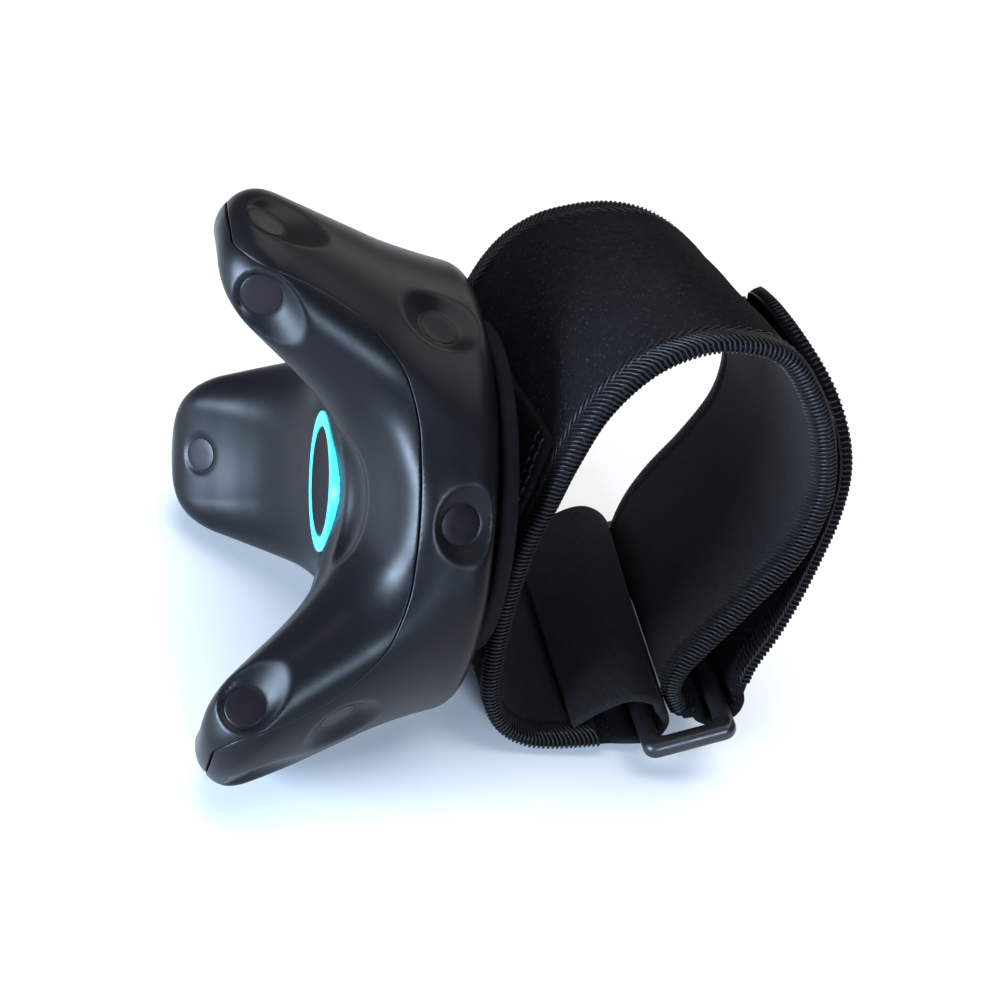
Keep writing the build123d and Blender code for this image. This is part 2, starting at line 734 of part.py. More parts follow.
def from_bar(distance, turn):
    """Point at a distance and angle from the middle of the ring's outer bar."""
    step = around(distance, turn)
    return (right_bar[0] + step[0], right_bar[1] + step[1])


tail_root = from_bar(fold_middle, ROOT_TURN)
with BuildPart() as tail_fold:
    add(bar_loop(right_bar, fold_outer).part)
    with BuildSketch(section.offset(-STRAP_WIDTH / 2)):
        Polygon(right_bar, from_bar(fold_outer * 3, ROOT_TURN), from_bar(fold_outer * 3, BAND_END_TURN),
                align=None)
        with Locations(tail_root):
            Circle(TAIL_THICK / 2 + ROOT_GAP)
    extrude(amount=STRAP_WIDTH, mode=Mode.SUBTRACT)
save(tail_fold.part, "tail_fold")

# ---- Tail of the strap with its hook patch ---------------------------------------------------------------
TAIL_HALF = 22.0


def tail_path():
    """Middle line of the tail, from its root up the outside of the band to its free end."""
    with BuildLine() as path:
        Spline(
            tail_root,
            (50.2, -19.5),
            (51.9, -12.5),
            (54.3, -5.0),
            (55.9, 3.0),
            (56.8, 12.0),
            (56.0, 22.0),
            (53.4, 30.5),
            (49.0, 37.8),
        )
    return path


with BuildPart() as strap_tail:
    with BuildSketch(section):
        with BuildLine():
            add(tail_path().line)
        trace(line_width=TAIL_THICK)
        with Locations(tail_root):
            Circle(TAIL_THICK / 2)
    extrude(amount=TAIL_HALF, both=True)
save(strap_tail.part, "strap_tail")

with BuildPart() as hook_patch:
    with BuildSketch(section):
        with BuildLine():
            Spline((54.2, 3.0), (55.0, 12.0), (54.3, 21.0), (51.9, 29.2))
        trace(line_width=HOOK_THICK)
    extrude(amount=TAIL_HALF - WALL, both=True)
    add(strap_tail.part, mode=Mode.SUBTRACT)
save(hook_patch.part, "hook_patch")

# ---- Buckle ring -----------------------------------------------------------------------------------------
ring_tilt = math.radians(RING_TURN)
ring_x = section.x_dir * math.cos(ring_tilt) + section.y_dir * math.sin(ring_tilt)
ring_normal = section.y_dir * math.cos(ring_tilt) - section.x_dir * math.sin(ring_tilt)
ring_plane = Plane(
    origin=section.from_local_coords(Vector(*RING_CENTRE, 0)), x_dir=ring_x, z_dir=ring_normal
)
with BuildPart() as buckle_ring:
    with BuildSketch(ring_plane):
        RectangleRounded(RING_ACROSS, RING_LENGTH, WALL)
        RectangleRounded(RING_ACROSS - RING_BAR * 2, RING_LENGTH - RING_BAR * 2, WALL / 2, mode=Mode.SUBTRACT)
    extrude(amount=RING_THICK / 2, both=True)
    fillet(buckle_ring.edges().filter_by(lambda edge: edge.length > RING_BAR * 2), RING_ROUND)
save(buckle_ring.part, "buckle_ring")
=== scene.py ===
import bpy
import math
import numpy as np
from mathutils import Matrix, Vector


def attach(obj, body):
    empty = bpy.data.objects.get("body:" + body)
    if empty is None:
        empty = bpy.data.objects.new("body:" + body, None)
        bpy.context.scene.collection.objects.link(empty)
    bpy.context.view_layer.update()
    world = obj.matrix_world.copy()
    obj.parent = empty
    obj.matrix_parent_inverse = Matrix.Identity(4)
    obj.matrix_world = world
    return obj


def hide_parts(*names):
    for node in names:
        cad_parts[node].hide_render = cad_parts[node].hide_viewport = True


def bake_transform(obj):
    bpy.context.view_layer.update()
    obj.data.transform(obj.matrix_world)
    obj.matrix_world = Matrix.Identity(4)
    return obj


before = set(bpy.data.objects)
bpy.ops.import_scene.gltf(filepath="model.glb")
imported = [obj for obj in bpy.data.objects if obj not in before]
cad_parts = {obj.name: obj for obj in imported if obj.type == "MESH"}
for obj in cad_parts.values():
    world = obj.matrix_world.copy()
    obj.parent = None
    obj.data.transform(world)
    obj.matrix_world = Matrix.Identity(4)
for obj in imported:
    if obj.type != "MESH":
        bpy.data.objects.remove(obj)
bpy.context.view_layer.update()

# Wrist-worn motion tracker: a three-armed puck on a hook-and-loop wrist strap.
# Lengths are worked out in millimetres and written to the meshes in metres.
MM = 0.001

# ---- Places shared with the CAD model ---------------------------------------------------------
LEAN = math.radians(4.6)
BASE_CENTRE = np.array([-5.6, 0.0, 36.0])
OUT_OF_FACE = np.array([-math.cos(LEAN), 0.0, -math.sin(LEAN)])
ARM_UP = np.array([-math.sin(LEAN), 0.0, math.cos(LEAN)])
ALONG_Y = np.array([0.0, 1.0, 0.0])
STRAP_WIDTH = 50.0


def puck_to_world(points):
    """From the puck's own frame (arm up, along Y, out of the face) to the object's, in metres."""
    points = np.asarray(points, float)
    turned = points[:, :1] * ARM_UP + points[:, 1:2] * ALONG_Y + points[:, 2:3] * OUT_OF_FACE
    return (BASE_CENTRE + turned) * MM


def section_to_world(points):
    """From the strap's section (away from the puck, up, towards the viewer) to metres."""
    points = np.asarray(points, float)
    turned = points[:, :1] * -OUT_OF_FACE + points[:, 1:2] * ARM_UP - points[:, 2:3] * ALONG_Y
    return (BASE_CENTRE + turned) * MM


# ---- Materials ----------------------------------------------------------------------------------
class Shader:
    """A Principled material under construction."""

    def __init__(self, name, color, roughness, metallic=0.0):
        self.material = bpy.data.materials.new(name)
        self.material.use_nodes = True
        self.tree = self.material.node_tree
        self.surface = self.tree.nodes["Principled BSDF"]
        self.surface.inputs["Base Color"].default_value = (*color, 1.0)
        self.surface.inputs["Roughness"].default_value = roughness
        self.surface.inputs["Metallic"].default_value = metallic
        self.color = color
        self.place = self.tree.nodes.new("ShaderNodeTexCoord").outputs["Object"]

    def node(self, kind, **values):
        made = self.tree.nodes.new(kind)
        for key, value in values.items():
            setattr(made, key, value)
        return made

    def link(self, out, into):
        self.tree.links.new(out, into)

    def noise(self, scale, detail=3.0, rough=0.5):
        made = self.node("ShaderNodeTexNoise")
        made.inputs["Scale"].default_value = scale
        made.inputs["Detail"].default_value = detail
        made.inputs["Roughness"].default_value = rough
        self.link(self.place, made.inputs["Vector"])
        return made.outputs["Fac"]

    def cells(self, scale):
        made = self.node("ShaderNodeTexVoronoi")
        made.inputs["Scale"].default_value = scale
        self.link(self.place, made.inputs["Vector"])
        return made.outputs["Distance"]

    def ramp(self, source, stops):
        made = self.node("ShaderNodeValToRGB")
        ramp = made.color_ramp
        while len(ramp.elements) < len(stops):
            ramp.elements.new(0.5)
        for element, (at, color) in zip(ramp.elements, stops):
            element.position = at
            element.color = (*color, 1.0) if isinstance(color, tuple) else (color, color, color, 1.0)
        self.link(source, made.inputs["Fac"])
        return made.outputs["Color"]

    def color_from(self, source, low, high):
        """Base colour that varies between two multiples of the material's own."""
        stops = [(at, tuple(part * share for part in self.color))
                 for at, share in ((0.35, low), (0.65, high))]
        self.link(self.ramp(source, stops), self.surface.inputs["Base Color"])

    def rough_from(self, source, low, high):
        self.link(self.ramp(source, [(0.3, low), (0.7, high)]), self.surface.inputs["Roughness"])

    def bump(self, source, distance, strength=1.0):
        made = self.node("ShaderNodeBump")
        made.inputs["Strength"].default_value = strength
        made.inputs["Distance"].default_value = distance
        self.link(source, made.inputs["Height"])
        normal = self.surface.inputs["Normal"]
        if normal.links:
            self.link(normal.links[0].from_socket, made.inputs["Normal"])
        self.link(made.outputs["Normal"], normal)

    def set(self, **values):
        for key, value in values.items():
            self.surface.inputs[key.replace("_", " ")].default_value = value


def case_plastic():
    shader = Shader("case_plastic", (0.0036, 0.0037, 0.0045), 0.33)
    shader.rough_from(shader.noise(900.0), 0.31, 0.36)
    shader.color_from(shader.noise(60.0), 0.92, 1.08)
    shader.bump(shader.noise(5200.0, 2.0), 0.000012, 0.5)
    shader.set(Specular_IOR_Level=0.14)
    return shader.material


def window_plastic():
    shader = Shader("window_plastic", (0.0045, 0.003, 0.0045), 0.3)
    shader.rough_from(shader.noise(700.0), 0.3, 0.38)
    shader.bump(shader.noise(2600.0), 0.000008, 0.3)
    shader.set(Specular_IOR_Level=0.16)
    return shader.material


def light_plastic():
    shader = Shader("light_plastic", (0.055, 0.50, 0.62), 0.3)
    shader.color_from(shader.noise(260.0), 0.94, 1.06)
    shader.bump(shader.noise(1800.0), 0.00001, 0.3)
    shader.set(Emission_Color=(0.05, 0.72, 0.90, 1.0), Emission_Strength=0.55)
    return shader.material


def rubber():
    shader = Shader("rubber_pad", (0.0042, 0.0042, 0.0048), 0.85)
    shader.color_from(shader.noise(240.0), 0.8, 1.25)
    shader.bump(shader.noise(2600.0, 4.0), 0.00006, 0.6)
    shader.set(Specular_IOR_Level=0.1)
    return shader.material


def ring_plastic():
    shader = Shader("ring_plastic", (0.006, 0.006, 0.007), 0.36)
    shader.rough_from(shader.noise(300.0), 0.3, 0.46)
    shader.color_from(shader.noise(120.0), 0.9, 1.15)
    shader.bump(shader.noise(1400.0, 3.0), 0.00004, 0.45)
    return shader.material


def steel(name="zinc_steel", color=(0.52, 0.53, 0.55)):
    shader = Shader(name, color, 0.32, 1.0)
    shader.rough_from(shader.noise(900.0), 0.25, 0.42)
    shader.bump(shader.noise(2400.0), 0.00002, 0.4)
    return shader.material


def board_green():
    shader = Shader("board_green", (0.012, 0.07, 0.035), 0.4)
    shader.color_from(shader.noise(300.0), 0.8, 1.2)
    shader.bump(shader.cells(900.0), 0.00003, 0.4)
    return shader.material


def plain_inside(name, color, roughness):
    shader = Shader(name, color, roughness)
    shader.color_from(shader.noise(200.0), 0.85, 1.15)
    shader.bump(shader.noise(1500.0), 0.00003, 0.4)
    return shader.material


def loop_fabric():
    """Brushed loop pile: a fine tangle of fibres with a few light specks."""
    shader = Shader("loop_fabric", (0.0072, 0.0072, 0.0082), 0.95)
    tangle = shader.noise(2300.0, 6.0, 0.75)
    clumps = shader.noise(620.0, 4.0, 0.6)
    mix = shader.node("ShaderNodeMath", operation="ADD")
    shader.link(tangle, mix.inputs[0])
    shader.link(clumps, mix.inputs[1])
    half = shader.node("ShaderNodeMath", operation="MULTIPLY")
    half.inputs[1].default_value = 0.5
    shader.link(mix.outputs[0], half.inputs[0])
    base = shader.ramp(half.outputs[0], [(0.36, (0.0010, 0.0010, 0.0012)),
                                         (0.62, (0.0045, 0.0044, 0.0049))])
    specks = shader.ramp(shader.cells(1100.0), [(0.10, 1.0), (0.22, 0.0)])
    blend = shader.node("ShaderNodeMix", data_type="RGBA")
    shader.link(specks, blend.inputs["Factor"])
    shader.link(base, blend.inputs["A"])
    blend.inputs["B"].default_value = (0.032, 0.033, 0.038, 1.0)
    shader.link(blend.outputs["Result"], shader.surface.inputs["Base Color"])
    shader.bump(tangle, 0.0008, 1.0)
    shader.bump(clumps, 0.0012, 0.8)
    shader.set(Sheen_Weight=0.02, Sheen_Roughness=0.45, Sheen_Tint=(0.6, 0.62, 0.68, 1.0),
               Specular_IOR_Level=0.1)
    return shader.material


def knit(name, color, scale, sheen):
    """Fine ribbed knit of the strap's inside."""
    shader = Shader(name, color, 0.88)
    rows = shader.node("ShaderNodeTexWave", bands_direction="Z")
    rows.inputs["Scale"].default_value = scale
    rows.inputs["Distortion"].default_value = 1.6
    rows.inputs["Detail"].default_value = 2.0
    shader.link(shader.place, rows.inputs["Vector"])
    shader.bump(rows.outputs["Fac"], 0.00012, 0.5)
    shader.bump(shader.noise(2200.0, 4.0), 0.00012, 0.6)
    shader.color_from(shader.noise(700.0, 4.0), 0.7, 1.35)
    shader.set(Sheen_Weight=sheen, Sheen_Roughness=0.5, Specular_IOR_Level=0.25)
    return shader.material


def thread():
    shader = Shader("overlock_thread", (0.0034, 0.0034, 0.0040), 0.46)
    shader.color_from(shader.noise(1400.0), 0.7, 1.5)
    shader.rough_from(shader.noise(2200.0), 0.34, 0.55)
    shader.bump(shader.noise(6000.0, 2.0), 0.00004, 0.5)
    shader.set(Specular_IOR_Level=0.2)
    return shader.material


CASE = case_plastic()
WINDOW = window_plastic()
LIGHT = light_plastic()
RUBBER = rubber()
RING = ring_plastic()
STEEL = steel()
BRASS = steel("turned_brass", (0.66, 0.48, 0.2))
BOARD = board_green()
INSIDE = plain_inside("inner_plastic", (0.02, 0.02, 0.022), 0.5)
CHIP = plain_inside("chip_epoxy", (0.02, 0.02, 0.022), 0.6)
CERAMIC = plain_inside("ceramic", (0.7, 0.68, 0.62), 0.4)
FOIL = steel("battery_foil", (0.6, 0.62, 0.65))
FILM = plain_inside("polyimide_film", (0.42, 0.17, 0.03), 0.35)
LOOP = loop_fabric()
LINING = knit("lining_knit", (0.0032, 0.0031, 0.0035), 900.0, 0.01)
WEBBING = knit("webbing_weave", (0.0034, 0.0033, 0.0037), 600.0, 0.015)
THREAD = thread()
HOOKS = plain_inside("hook_tape", (0.011, 0.011, 0.012), 0.5)


# ---- Mesh helpers ---------------------------------------------------------------------------------
def make_piece(name, points, faces, material, body, smooth=True, replaces=()):
    """A mesh piece in metres that rides on a body."""
    mesh = bpy.data.meshes.new(name)
    mesh.from_pydata([tuple(map(float, point)) for point in points], [],
                     [tuple(map(int, face)) for face in faces])
    mesh.update()
    mesh.validate()
    if smooth:
        mesh.shade_smooth()
    piece = bpy.data.objects.new(name, mesh)
    bpy.context.collection.objects.link(piece)
    mesh.materials.append(material)
    if body:
        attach(piece, body)
    if replaces:
        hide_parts(*replaces)
    return piece


def dress(material, *nodes):
    """Gives CAD nodes their material."""
    for name in nodes:
        piece = bpy.data.objects[name]
        if not piece.material_slots:
            piece.data.materials.append(material)
        for held in piece.material_slots:
            held.link = "OBJECT"
            held.material = material


# ---- Outer form of the puck as a smooth distance field ------------------------------------------------
TIP_RADIUS = 49.83
BASE_RADIUS = 33.3
FLARE = 0.46                # how fast the side wall leans out with height
FLARE_COS = 1 / math.hypot(1, FLARE)
HUB_RADIUS = 34.9
HUB_TOP = 20.8
HUB_FLARE = 0.045
CREST = 41.5
ARM_HALF_TOP = 11.9
ARM_SPREAD = 0.28           # how fast an arm widens below its crest
# Tables for np.interp: an arm's end radius in plan by height, the rounding of its flanks by depth below the
# crest, and the rounding of the face's edge by radius.
CAP_BY_HEIGHT = ((0.0, 8.0, 18.0, 28.0, 42.0), (33.0, 31.0, 27.0, 22.0, 17.0))
FLANK_ROUND_BY_DEPTH = ((0.0, 3.0, 8.0, 14.0), (12.0, 10.0, 6.0, 5.0))
EDGE_ROUND_BY_RADIUS = ((37.0, 46.0), (3.6, 8.0))
# Widths over which the main forms run into each other.
ARM_TO_ARM = 8.0
HUB_ROUND = 8.0
ARM_TO_HUB = 5.0
VALLEY_ROUND = 4.0
TIP_ROUND = 4.0
CREST_ROUND = 2.5
BASE_ROUND = 3.6
# The hub's top falls away in each gap, beyond a place along the gap.
GAP_START = 10.5
GAP_FALL = 0.22
GAP_BEND = 0.002
VALLEY_RISE = 0.035
# Light's well in the hub, and the hole for the camera thread.
WELL_RADIUS = 11.3
WELL_DEPTH = 3.0
INSERT_RADIUS = 4.75
INSERT_DEPTH = 7.5
# Hollow beside the light in the gap that faces the viewer: its turn, its place out and up, its half sizes.
BOWL_COS, BOWL_SIN = math.cos(math.radians(300)), math.sin(math.radians(300))
BOWL_OUT, BOWL_UP = 21.0, 22.7
BOWL_DEEP, BOWL_WIDE, BOWL_TALL = 6.4, 10.0, 5.6
# Slot for the charging inlet, in the far upper gap.
INLET_LEVEL = 6.2
INLET_HALF_WIDE, INLET_HALF_TALL = 4.7, 1.9
INLET_ROUND = 0.8
INLET_BACK = 27.0
CUT_ROUND = 0.35            # lip round a dish or the bowl
INLET_LIP = 0.4
SIN60, COS60 = math.sin(math.radians(60)), math.cos(math.radians(60))


def smooth_max(a, b, width):
    """The larger of two fields with its crease rounded over a width."""
    blend = np.clip(0.5 + 0.5 * (a - b) / width, 0, 1)
    return b + (a - b) * blend + width * blend * (1 - blend)


def smooth_min(a, b, width):
    return -smooth_max(-a, -b, width)


# Section of the sloping face: radius and height.
FACE_R = np.array([0.0, 11.0, 14.0, 20.0, 25.0, 29.2, 34.0, 38.5, 41.5, 45.0, 60.0])
FACE_Z = np.array([20.8, 20.8, 21.4, 23.4, 26.3, 29.9, 34.8, 39.2, 41.2, 41.8, 42.2])


def smooth_curve(knots_x, knots_y):
    """Monotone cubic through a few knots, as a dense table for np.interp."""
    slopes = np.diff(knots_y) / np.diff(knots_x)
    tangents = np.zeros(len(knots_x))
    tangents[1:-1] = np.where(slopes[:-1] * slopes[1:] > 0,
                              2 * slopes[:-1] * slopes[1:] / (slopes[:-1] + slopes[1:] + 1e-12), 0)
    tangents[-1] = slopes[-1]
    dense_x = np.linspace(knots_x[0], knots_x[-1], 1200)
    cell = np.clip(np.searchsorted(knots_x, dense_x, side="right") - 1, 0, len(slopes) - 1)
    span = knots_x[cell + 1] - knots_x[cell]
    t = (dense_x - knots_x[cell]) / span
    dense_y = ((2 * t**3 - 3 * t**2 + 1) * knots_y[cell] + (t**3 - 2 * t**2 + t) * span * tangents[cell]
               + (3 * t**2 - 2 * t**3) * knots_y[cell + 1] + (t**3 - t**2) * span * tangents[cell + 1])
    return dense_x, dense_y


FACE_CURVE = smooth_curve(FACE_R, FACE_Z)
SEAM_CURVE = smooth_curve(np.array([0.0, 10.0, 18.5, 26.5, 31.0, 34.3, 36.8, 44.0]),
                          np.array([11.7, 12.0, 14.0, 20.5, 28.0, 36.6, 39.2, 39.7]))


def gap_frame(x, y):
    """Distance along the nearest gap's middle line, sideways from it, and from the puck's axis."""
    turn = np.arctan2(y, x)
    off = np.mod(turn, 2 * math.pi / 3) - math.pi / 3
    radius = np.hypot(x, y)
    return radius * np.cos(off), np.abs(radius * np.sin(off)), radius


def seam_field(x, y, z):
    """Zero on the parting surface, positive on the face side."""
    aside = gap_frame(x, y)[1]
    return z - np.interp(aside, *SEAM_CURVE)


def dish_row(turn, radius, height, tilt, across, along, shift, depth):
    """One dish, from its turn, radius, height and the tilt of its outward normal from the puck's axis.

    Angles are in degrees. The rim has half sizes across and along the slope, and is shifted along it. The row
    holds the dish's centre, its three directions and the last four numbers.
    """
    turn = math.radians(turn)
    tilt = math.radians(tilt)
    normal = np.array([math.sin(tilt) * math.cos(turn), math.sin(tilt) * math.sin(turn), math.cos(tilt)])
    side = np.array([-math.sin(turn), math.cos(turn), 0.0])
    rise = np.cross(normal, side)
    spot = np.array([radius * math.cos(turn), radius * math.sin(turn), height])
    return (spot, side, rise, normal, across, along, shift, depth)


WINDOW_RADIUS = 3.0
WALL_TILT = 90 + math.degrees(math.atan(FLARE))
DISH_REACH = 14.0                       # a dish changes the form only this close to its centre
FLOOR_RADIUS = WINDOW_RADIUS + 0.2      # flat floor of a dish, round its window
ARM_TURNS = (0.0, 120.0, 240.0)


def face_window(turn):
    """Flush window on the sloping face of an arm."""
    rim = WINDOW_RADIUS + 0.3
    return dish_row(turn, 35.6, 36.4, -44, rim, rim, 0.0, 0.16)


def flank_dish(turn, side_sign):
    """Dish on the flank of an arm, near its tip."""
    base = math.radians(turn)
    ahead = np.array([math.cos(base), math.sin(base), 0.0])
    beside = np.array([-math.sin(base), math.cos(base), 0.0]) * side_sign
    up = np.array([0.0, 0.0, 1.0])
    normal = ahead * 0.12 + beside * 0.95 + up * 0.30
    normal /= np.linalg.norm(normal)
    rise = ahead * 0.76 + up * 0.65
    rise -= normal * float(rise @ normal)
    rise /= np.linalg.norm(rise)
    side = np.cross(rise, normal)
    spot = ahead * 40.3 + beside * 12.0 + up * 35.4
    return (spot, side, rise, normal, 5.7, 6.4, -2.3, 1.9)


DISHES = []
for arm in ARM_TURNS:
    DISHES.append(dish_row(arm - 2.0, 48.0, 33.6, WALL_TILT, 6.0, 6.6, -1.4, 1.5))
    DISHES.append(face_window(arm))
DISHES.append(dish_row(-14.0, 37.2, 8.0, 105, 6.4, 6.2, 0.0, 1.5))
DISHES.append(dish_row(120.0, 36.0, 6.0, WALL_TILT, 6.6, 5.4, 0.0, 1.3))
DISHES.append(flank_dish(0.0, -1))
DISHES.append(flank_dish(240.0, 1))
DISHES.append(dish_row(249.0, 42.2, 20.2, WALL_TILT, 6.2, 6.2, 0.0, 1.4))
for gap in (180.0, 297.0):
    DISHES.append(dish_row(gap, 35.0, 5.4, 99, 6.8, 5.4, 0.0, 1.5))


def outer_form(x, y, z, with_dishes=True):
    """Signed distance field of the puck's outside, negative inside."""
    along, aside, radius = gap_frame(x, y)
    face_level = np.interp(radius, *FACE_CURVE)
    half = ARM_HALF_TOP + ARM_SPREAD * (CREST - z)
    cap = np.interp(z, *CAP_BY_HEIGHT)
    reach = BASE_RADIUS + FLARE * z - cap
    arm_round = np.interp(CREST - z, *FLANK_ROUND_BY_DEPTH)
    arms = []
    for mirror in (-1, 1):
        across = along * SIN60 + mirror * aside * 0.5
        outward = along * 0.5 - mirror * aside * SIN60
        wall = (np.hypot(np.maximum(outward - reach, 0), across) - cap) * FLARE_COS
        arms.append(smooth_max(wall, np.abs(across) - half, arm_round))
    star = smooth_min(arms[0], arms[1], ARM_TO_ARM)
    beyond = np.clip(along - GAP_START, 0, 40)
    hub_level = HUB_TOP - GAP_FALL * beyond - GAP_BEND * beyond**2
    hub = smooth_max(radius - HUB_RADIUS - HUB_FLARE * z, (z - hub_level) * 0.95, HUB_ROUND)
    body = smooth_min(star, hub, ARM_TO_HUB)
    valley = (z - hub_level - VALLEY_RISE * aside**2) * 0.8
    body = smooth_max(body, valley, VALLEY_ROUND)
    body = smooth_max(body, radius - TIP_RADIUS - 0.2, TIP_ROUND)
    face = smooth_max((z - face_level) * 0.8, z - CREST, CREST_ROUND)
    body = smooth_max(body, face, np.interp(radius, *EDGE_ROUND_BY_RADIUS))
    body = smooth_max(body, -z, BASE_ROUND)
    if with_dishes:
        for spot, side, rise, normal, across, length, shift, depth in DISHES:
            dx, dy, dz = x - spot[0], y - spot[1], z - spot[2]
            near = dx * dx + dy * dy + dz * dz < DISH_REACH**2
            if not near.any():
                continue
            qx, qy, qz = dx[near], dy[near], dz[near]
            a = qx * side[0] + qy * side[1] + qz * side[2]
            b = qx * rise[0] + qy * rise[1] + qz * rise[2]
            c = qx * normal[0] + qy * normal[1] + qz * normal[2]
            t = np.clip((c + depth) / depth, 0, 2.5)
            wide = FLOOR_RADIUS + (across - FLOOR_RADIUS) * t
            long = FLOOR_RADIUS + (length - FLOOR_RADIUS) * t
            flank = (np.hypot(a / wide, (b - shift * t) / long) - 1) * np.minimum(wide, long) * 0.55
            dish = np.maximum(flank, -(c + depth))
            body[near] = smooth_max(body[near], -dish, CUT_ROUND)
        bowl_out = x * BOWL_COS + y * BOWL_SIN
        bowl_side = y * BOWL_COS - x * BOWL_SIN
        bowl = (np.sqrt(((bowl_out - BOWL_OUT) / BOWL_DEEP)**2 + (bowl_side / BOWL_WIDE)**2
                        + ((z - BOWL_UP) / BOWL_TALL)**2) - 1) * BOWL_TALL
        body = smooth_max(body, -bowl, CUT_ROUND)
    inlet_out = x * COS60 + y * SIN60
    inlet_side = np.abs(y * COS60 - x * SIN60)
    inlet = smooth_max(inlet_side - INLET_HALF_WIDE, np.abs(z - INLET_LEVEL) - INLET_HALF_TALL, INLET_ROUND)
    body = smooth_max(body, -np.maximum(inlet, INLET_BACK - inlet_out), INLET_LIP)
    well = np.maximum(radius - WELL_RADIUS, HUB_TOP - WELL_DEPTH - z)
    body = np.maximum(body, -well)
    insert = np.maximum(radius - INSERT_RADIUS, z - INSERT_DEPTH)
    return np.maximum(body, -insert)


def gradient(field, points, step=0.02):
    """Central differences of a field at points."""
    slope = np.empty_like(points)
    for axis in range(3):
        ahead, behind = points.copy(), points.copy()
        ahead[:, axis] += step
        behind[:, axis] -= step
        slope[:, axis] = (field(*ahead.T) - field(*behind.T)) / (2 * step)
    return slope


def bare_form(x, y, z):
    return outer_form(x, y, z, False)


def lay_on_surface(row):
    """Moves a dish along its normal until its centre is on the outer form."""
    spot, normal = row[0], row[3]
    for _ in range(8):
        spot = spot - normal * float(bare_form(*spot[:, None])[0])
    return (spot, *row[1:])


DISHES = [lay_on_surface(row) for row in DISHES]


def surface_net(field, low, high, step):
    """Quad mesh of a field's zero surface: one vertex in each cell that it crosses."""
    axes = [np.arange(low[k], high[k] + step, step) for k in range(3)]
    grid = np.meshgrid(*axes, indexing="ij")
    values = field(*grid)
    inside = values < 0
    cells_x, cells_y, cells_z = (size - 1 for size in inside.shape)
    counts = sum(inside[i:cells_x + i, j:cells_y + j, k:cells_z + k].astype(np.int8)
                 for i in (0, 1) for j in (0, 1) for k in (0, 1))
    crossed = (counts > 0) & (counts < 8)
    number = np.full(crossed.shape, -1)
    cells = np.argwhere(crossed)
    number[tuple(cells.T)] = np.arange(len(cells))
    points = np.array([axes[k][cells[:, k]] + step / 2 for k in range(3)]).T
    faces = []
    for axis in range(3):
        others = [k for k in range(3) if k != axis]
        first = np.take(inside, range(inside.shape[axis] - 1), axis)
        second = np.take(inside, range(1, inside.shape[axis]), axis)
        edges = np.argwhere(first != second)
        edges = edges[(edges[:, others[0]] > 0) & (edges[:, others[1]] > 0)]
        outward = first[tuple(edges.T)]
        ring = []
        for back_a, back_b in ((1, 1), (0, 1), (0, 0), (1, 0)):
            cell = edges.copy()
            cell[:, others[0]] -= back_a
            cell[:, others[1]] -= back_b
            keep = np.all([cell[:, other] < number.shape[other] for other in others], axis=0)
            cell[~keep] = 0
            ring.append(number[tuple(cell.T)])
        quads = np.array(ring).T
        flip = outward if axis != 1 else ~outward
        quads[~flip] = quads[~flip][:, ::-1]
        faces.append(quads)
    return points, np.concatenate(faces)


SETTLE_ROUNDS = 4
SETTLE_SHARE = 0.5          # of the way to the neighbours' mean, in each round
LONGEST_STEP = 0.6


def settle(field, points, faces):
    """Evens a net out and lays its vertices on the field's zero surface."""
    first = faces.ravel()
    second = np.roll(faces, -1, axis=1).ravel()
    for _ in range(SETTLE_ROUNDS):
        total = np.zeros_like(points)
        count = np.zeros(len(points))
        np.add.at(total, first, points[second])
        np.add.at(total, second, points[first])
        np.add.at(count, first, 1)
        np.add.at(count, second, 1)
        points = points + (total / count[:, None] - points) * SETTLE_SHARE
        for _ in range(2):
            slope = gradient(field, points)
            size = np.maximum((slope**2).sum(1), 0.15)
            points = points - np.clip(field(*points.T) / size, -LONGEST_STEP, LONGEST_STEP)[:, None] * slope
    return points


def clip_side(points, faces, level, keep_above):
    """The part of a mesh on one side of the seam field, with its cut edge's vertices."""
    values = seam_field(*points.T)
    sign = 1 if keep_above else -1
    height = (values - level) * sign
    kept = height > 0
    whole = kept[faces].all(1)
    crossing = kept[faces].any(1) & ~whole
    out_faces = [tuple(face) for face in faces[whole]]
    points = list(points)
    cut = {}

    def cut_vertex(a, b):
        key = (min(a, b), max(a, b))
        if key not in cut:
            share = height[a] / (height[a] - height[b])
            cut[key] = len(points)
            points.append(points[a] * (1 - share) + points[b] * share)
        return cut[key]

    rim_edges = []
    for face in faces[crossing]:
        ring = []
        ends = []
        for a, b in zip(face, np.roll(face, -1)):
            if kept[a]:
                ring.append(int(a))
            if kept[a] != kept[b]:
                ring.append(cut_vertex(int(a), int(b)))
                ends.append((ring[-1], kept[a]))
        if len(ring) < 3:
            continue
        out_faces.append(tuple(ring))
        if len(ends) == 2:
            leaving = ends[0][0] if ends[0][1] else ends[1][0]
            entering = ends[1][0] if ends[0][1] else ends[0][0]
            rim_edges.append((leaving, entering))
    return np.array(points), out_faces, rim_edges


SEAM_GAP = 0.24             # from the parting surface to each half
SHELL_WALL = 1.7
SEAM_LIP = ((0.12, 0.04), (0.17, 0.16), (0.17, 1.2))        # reach towards the seam, and depth below the skin


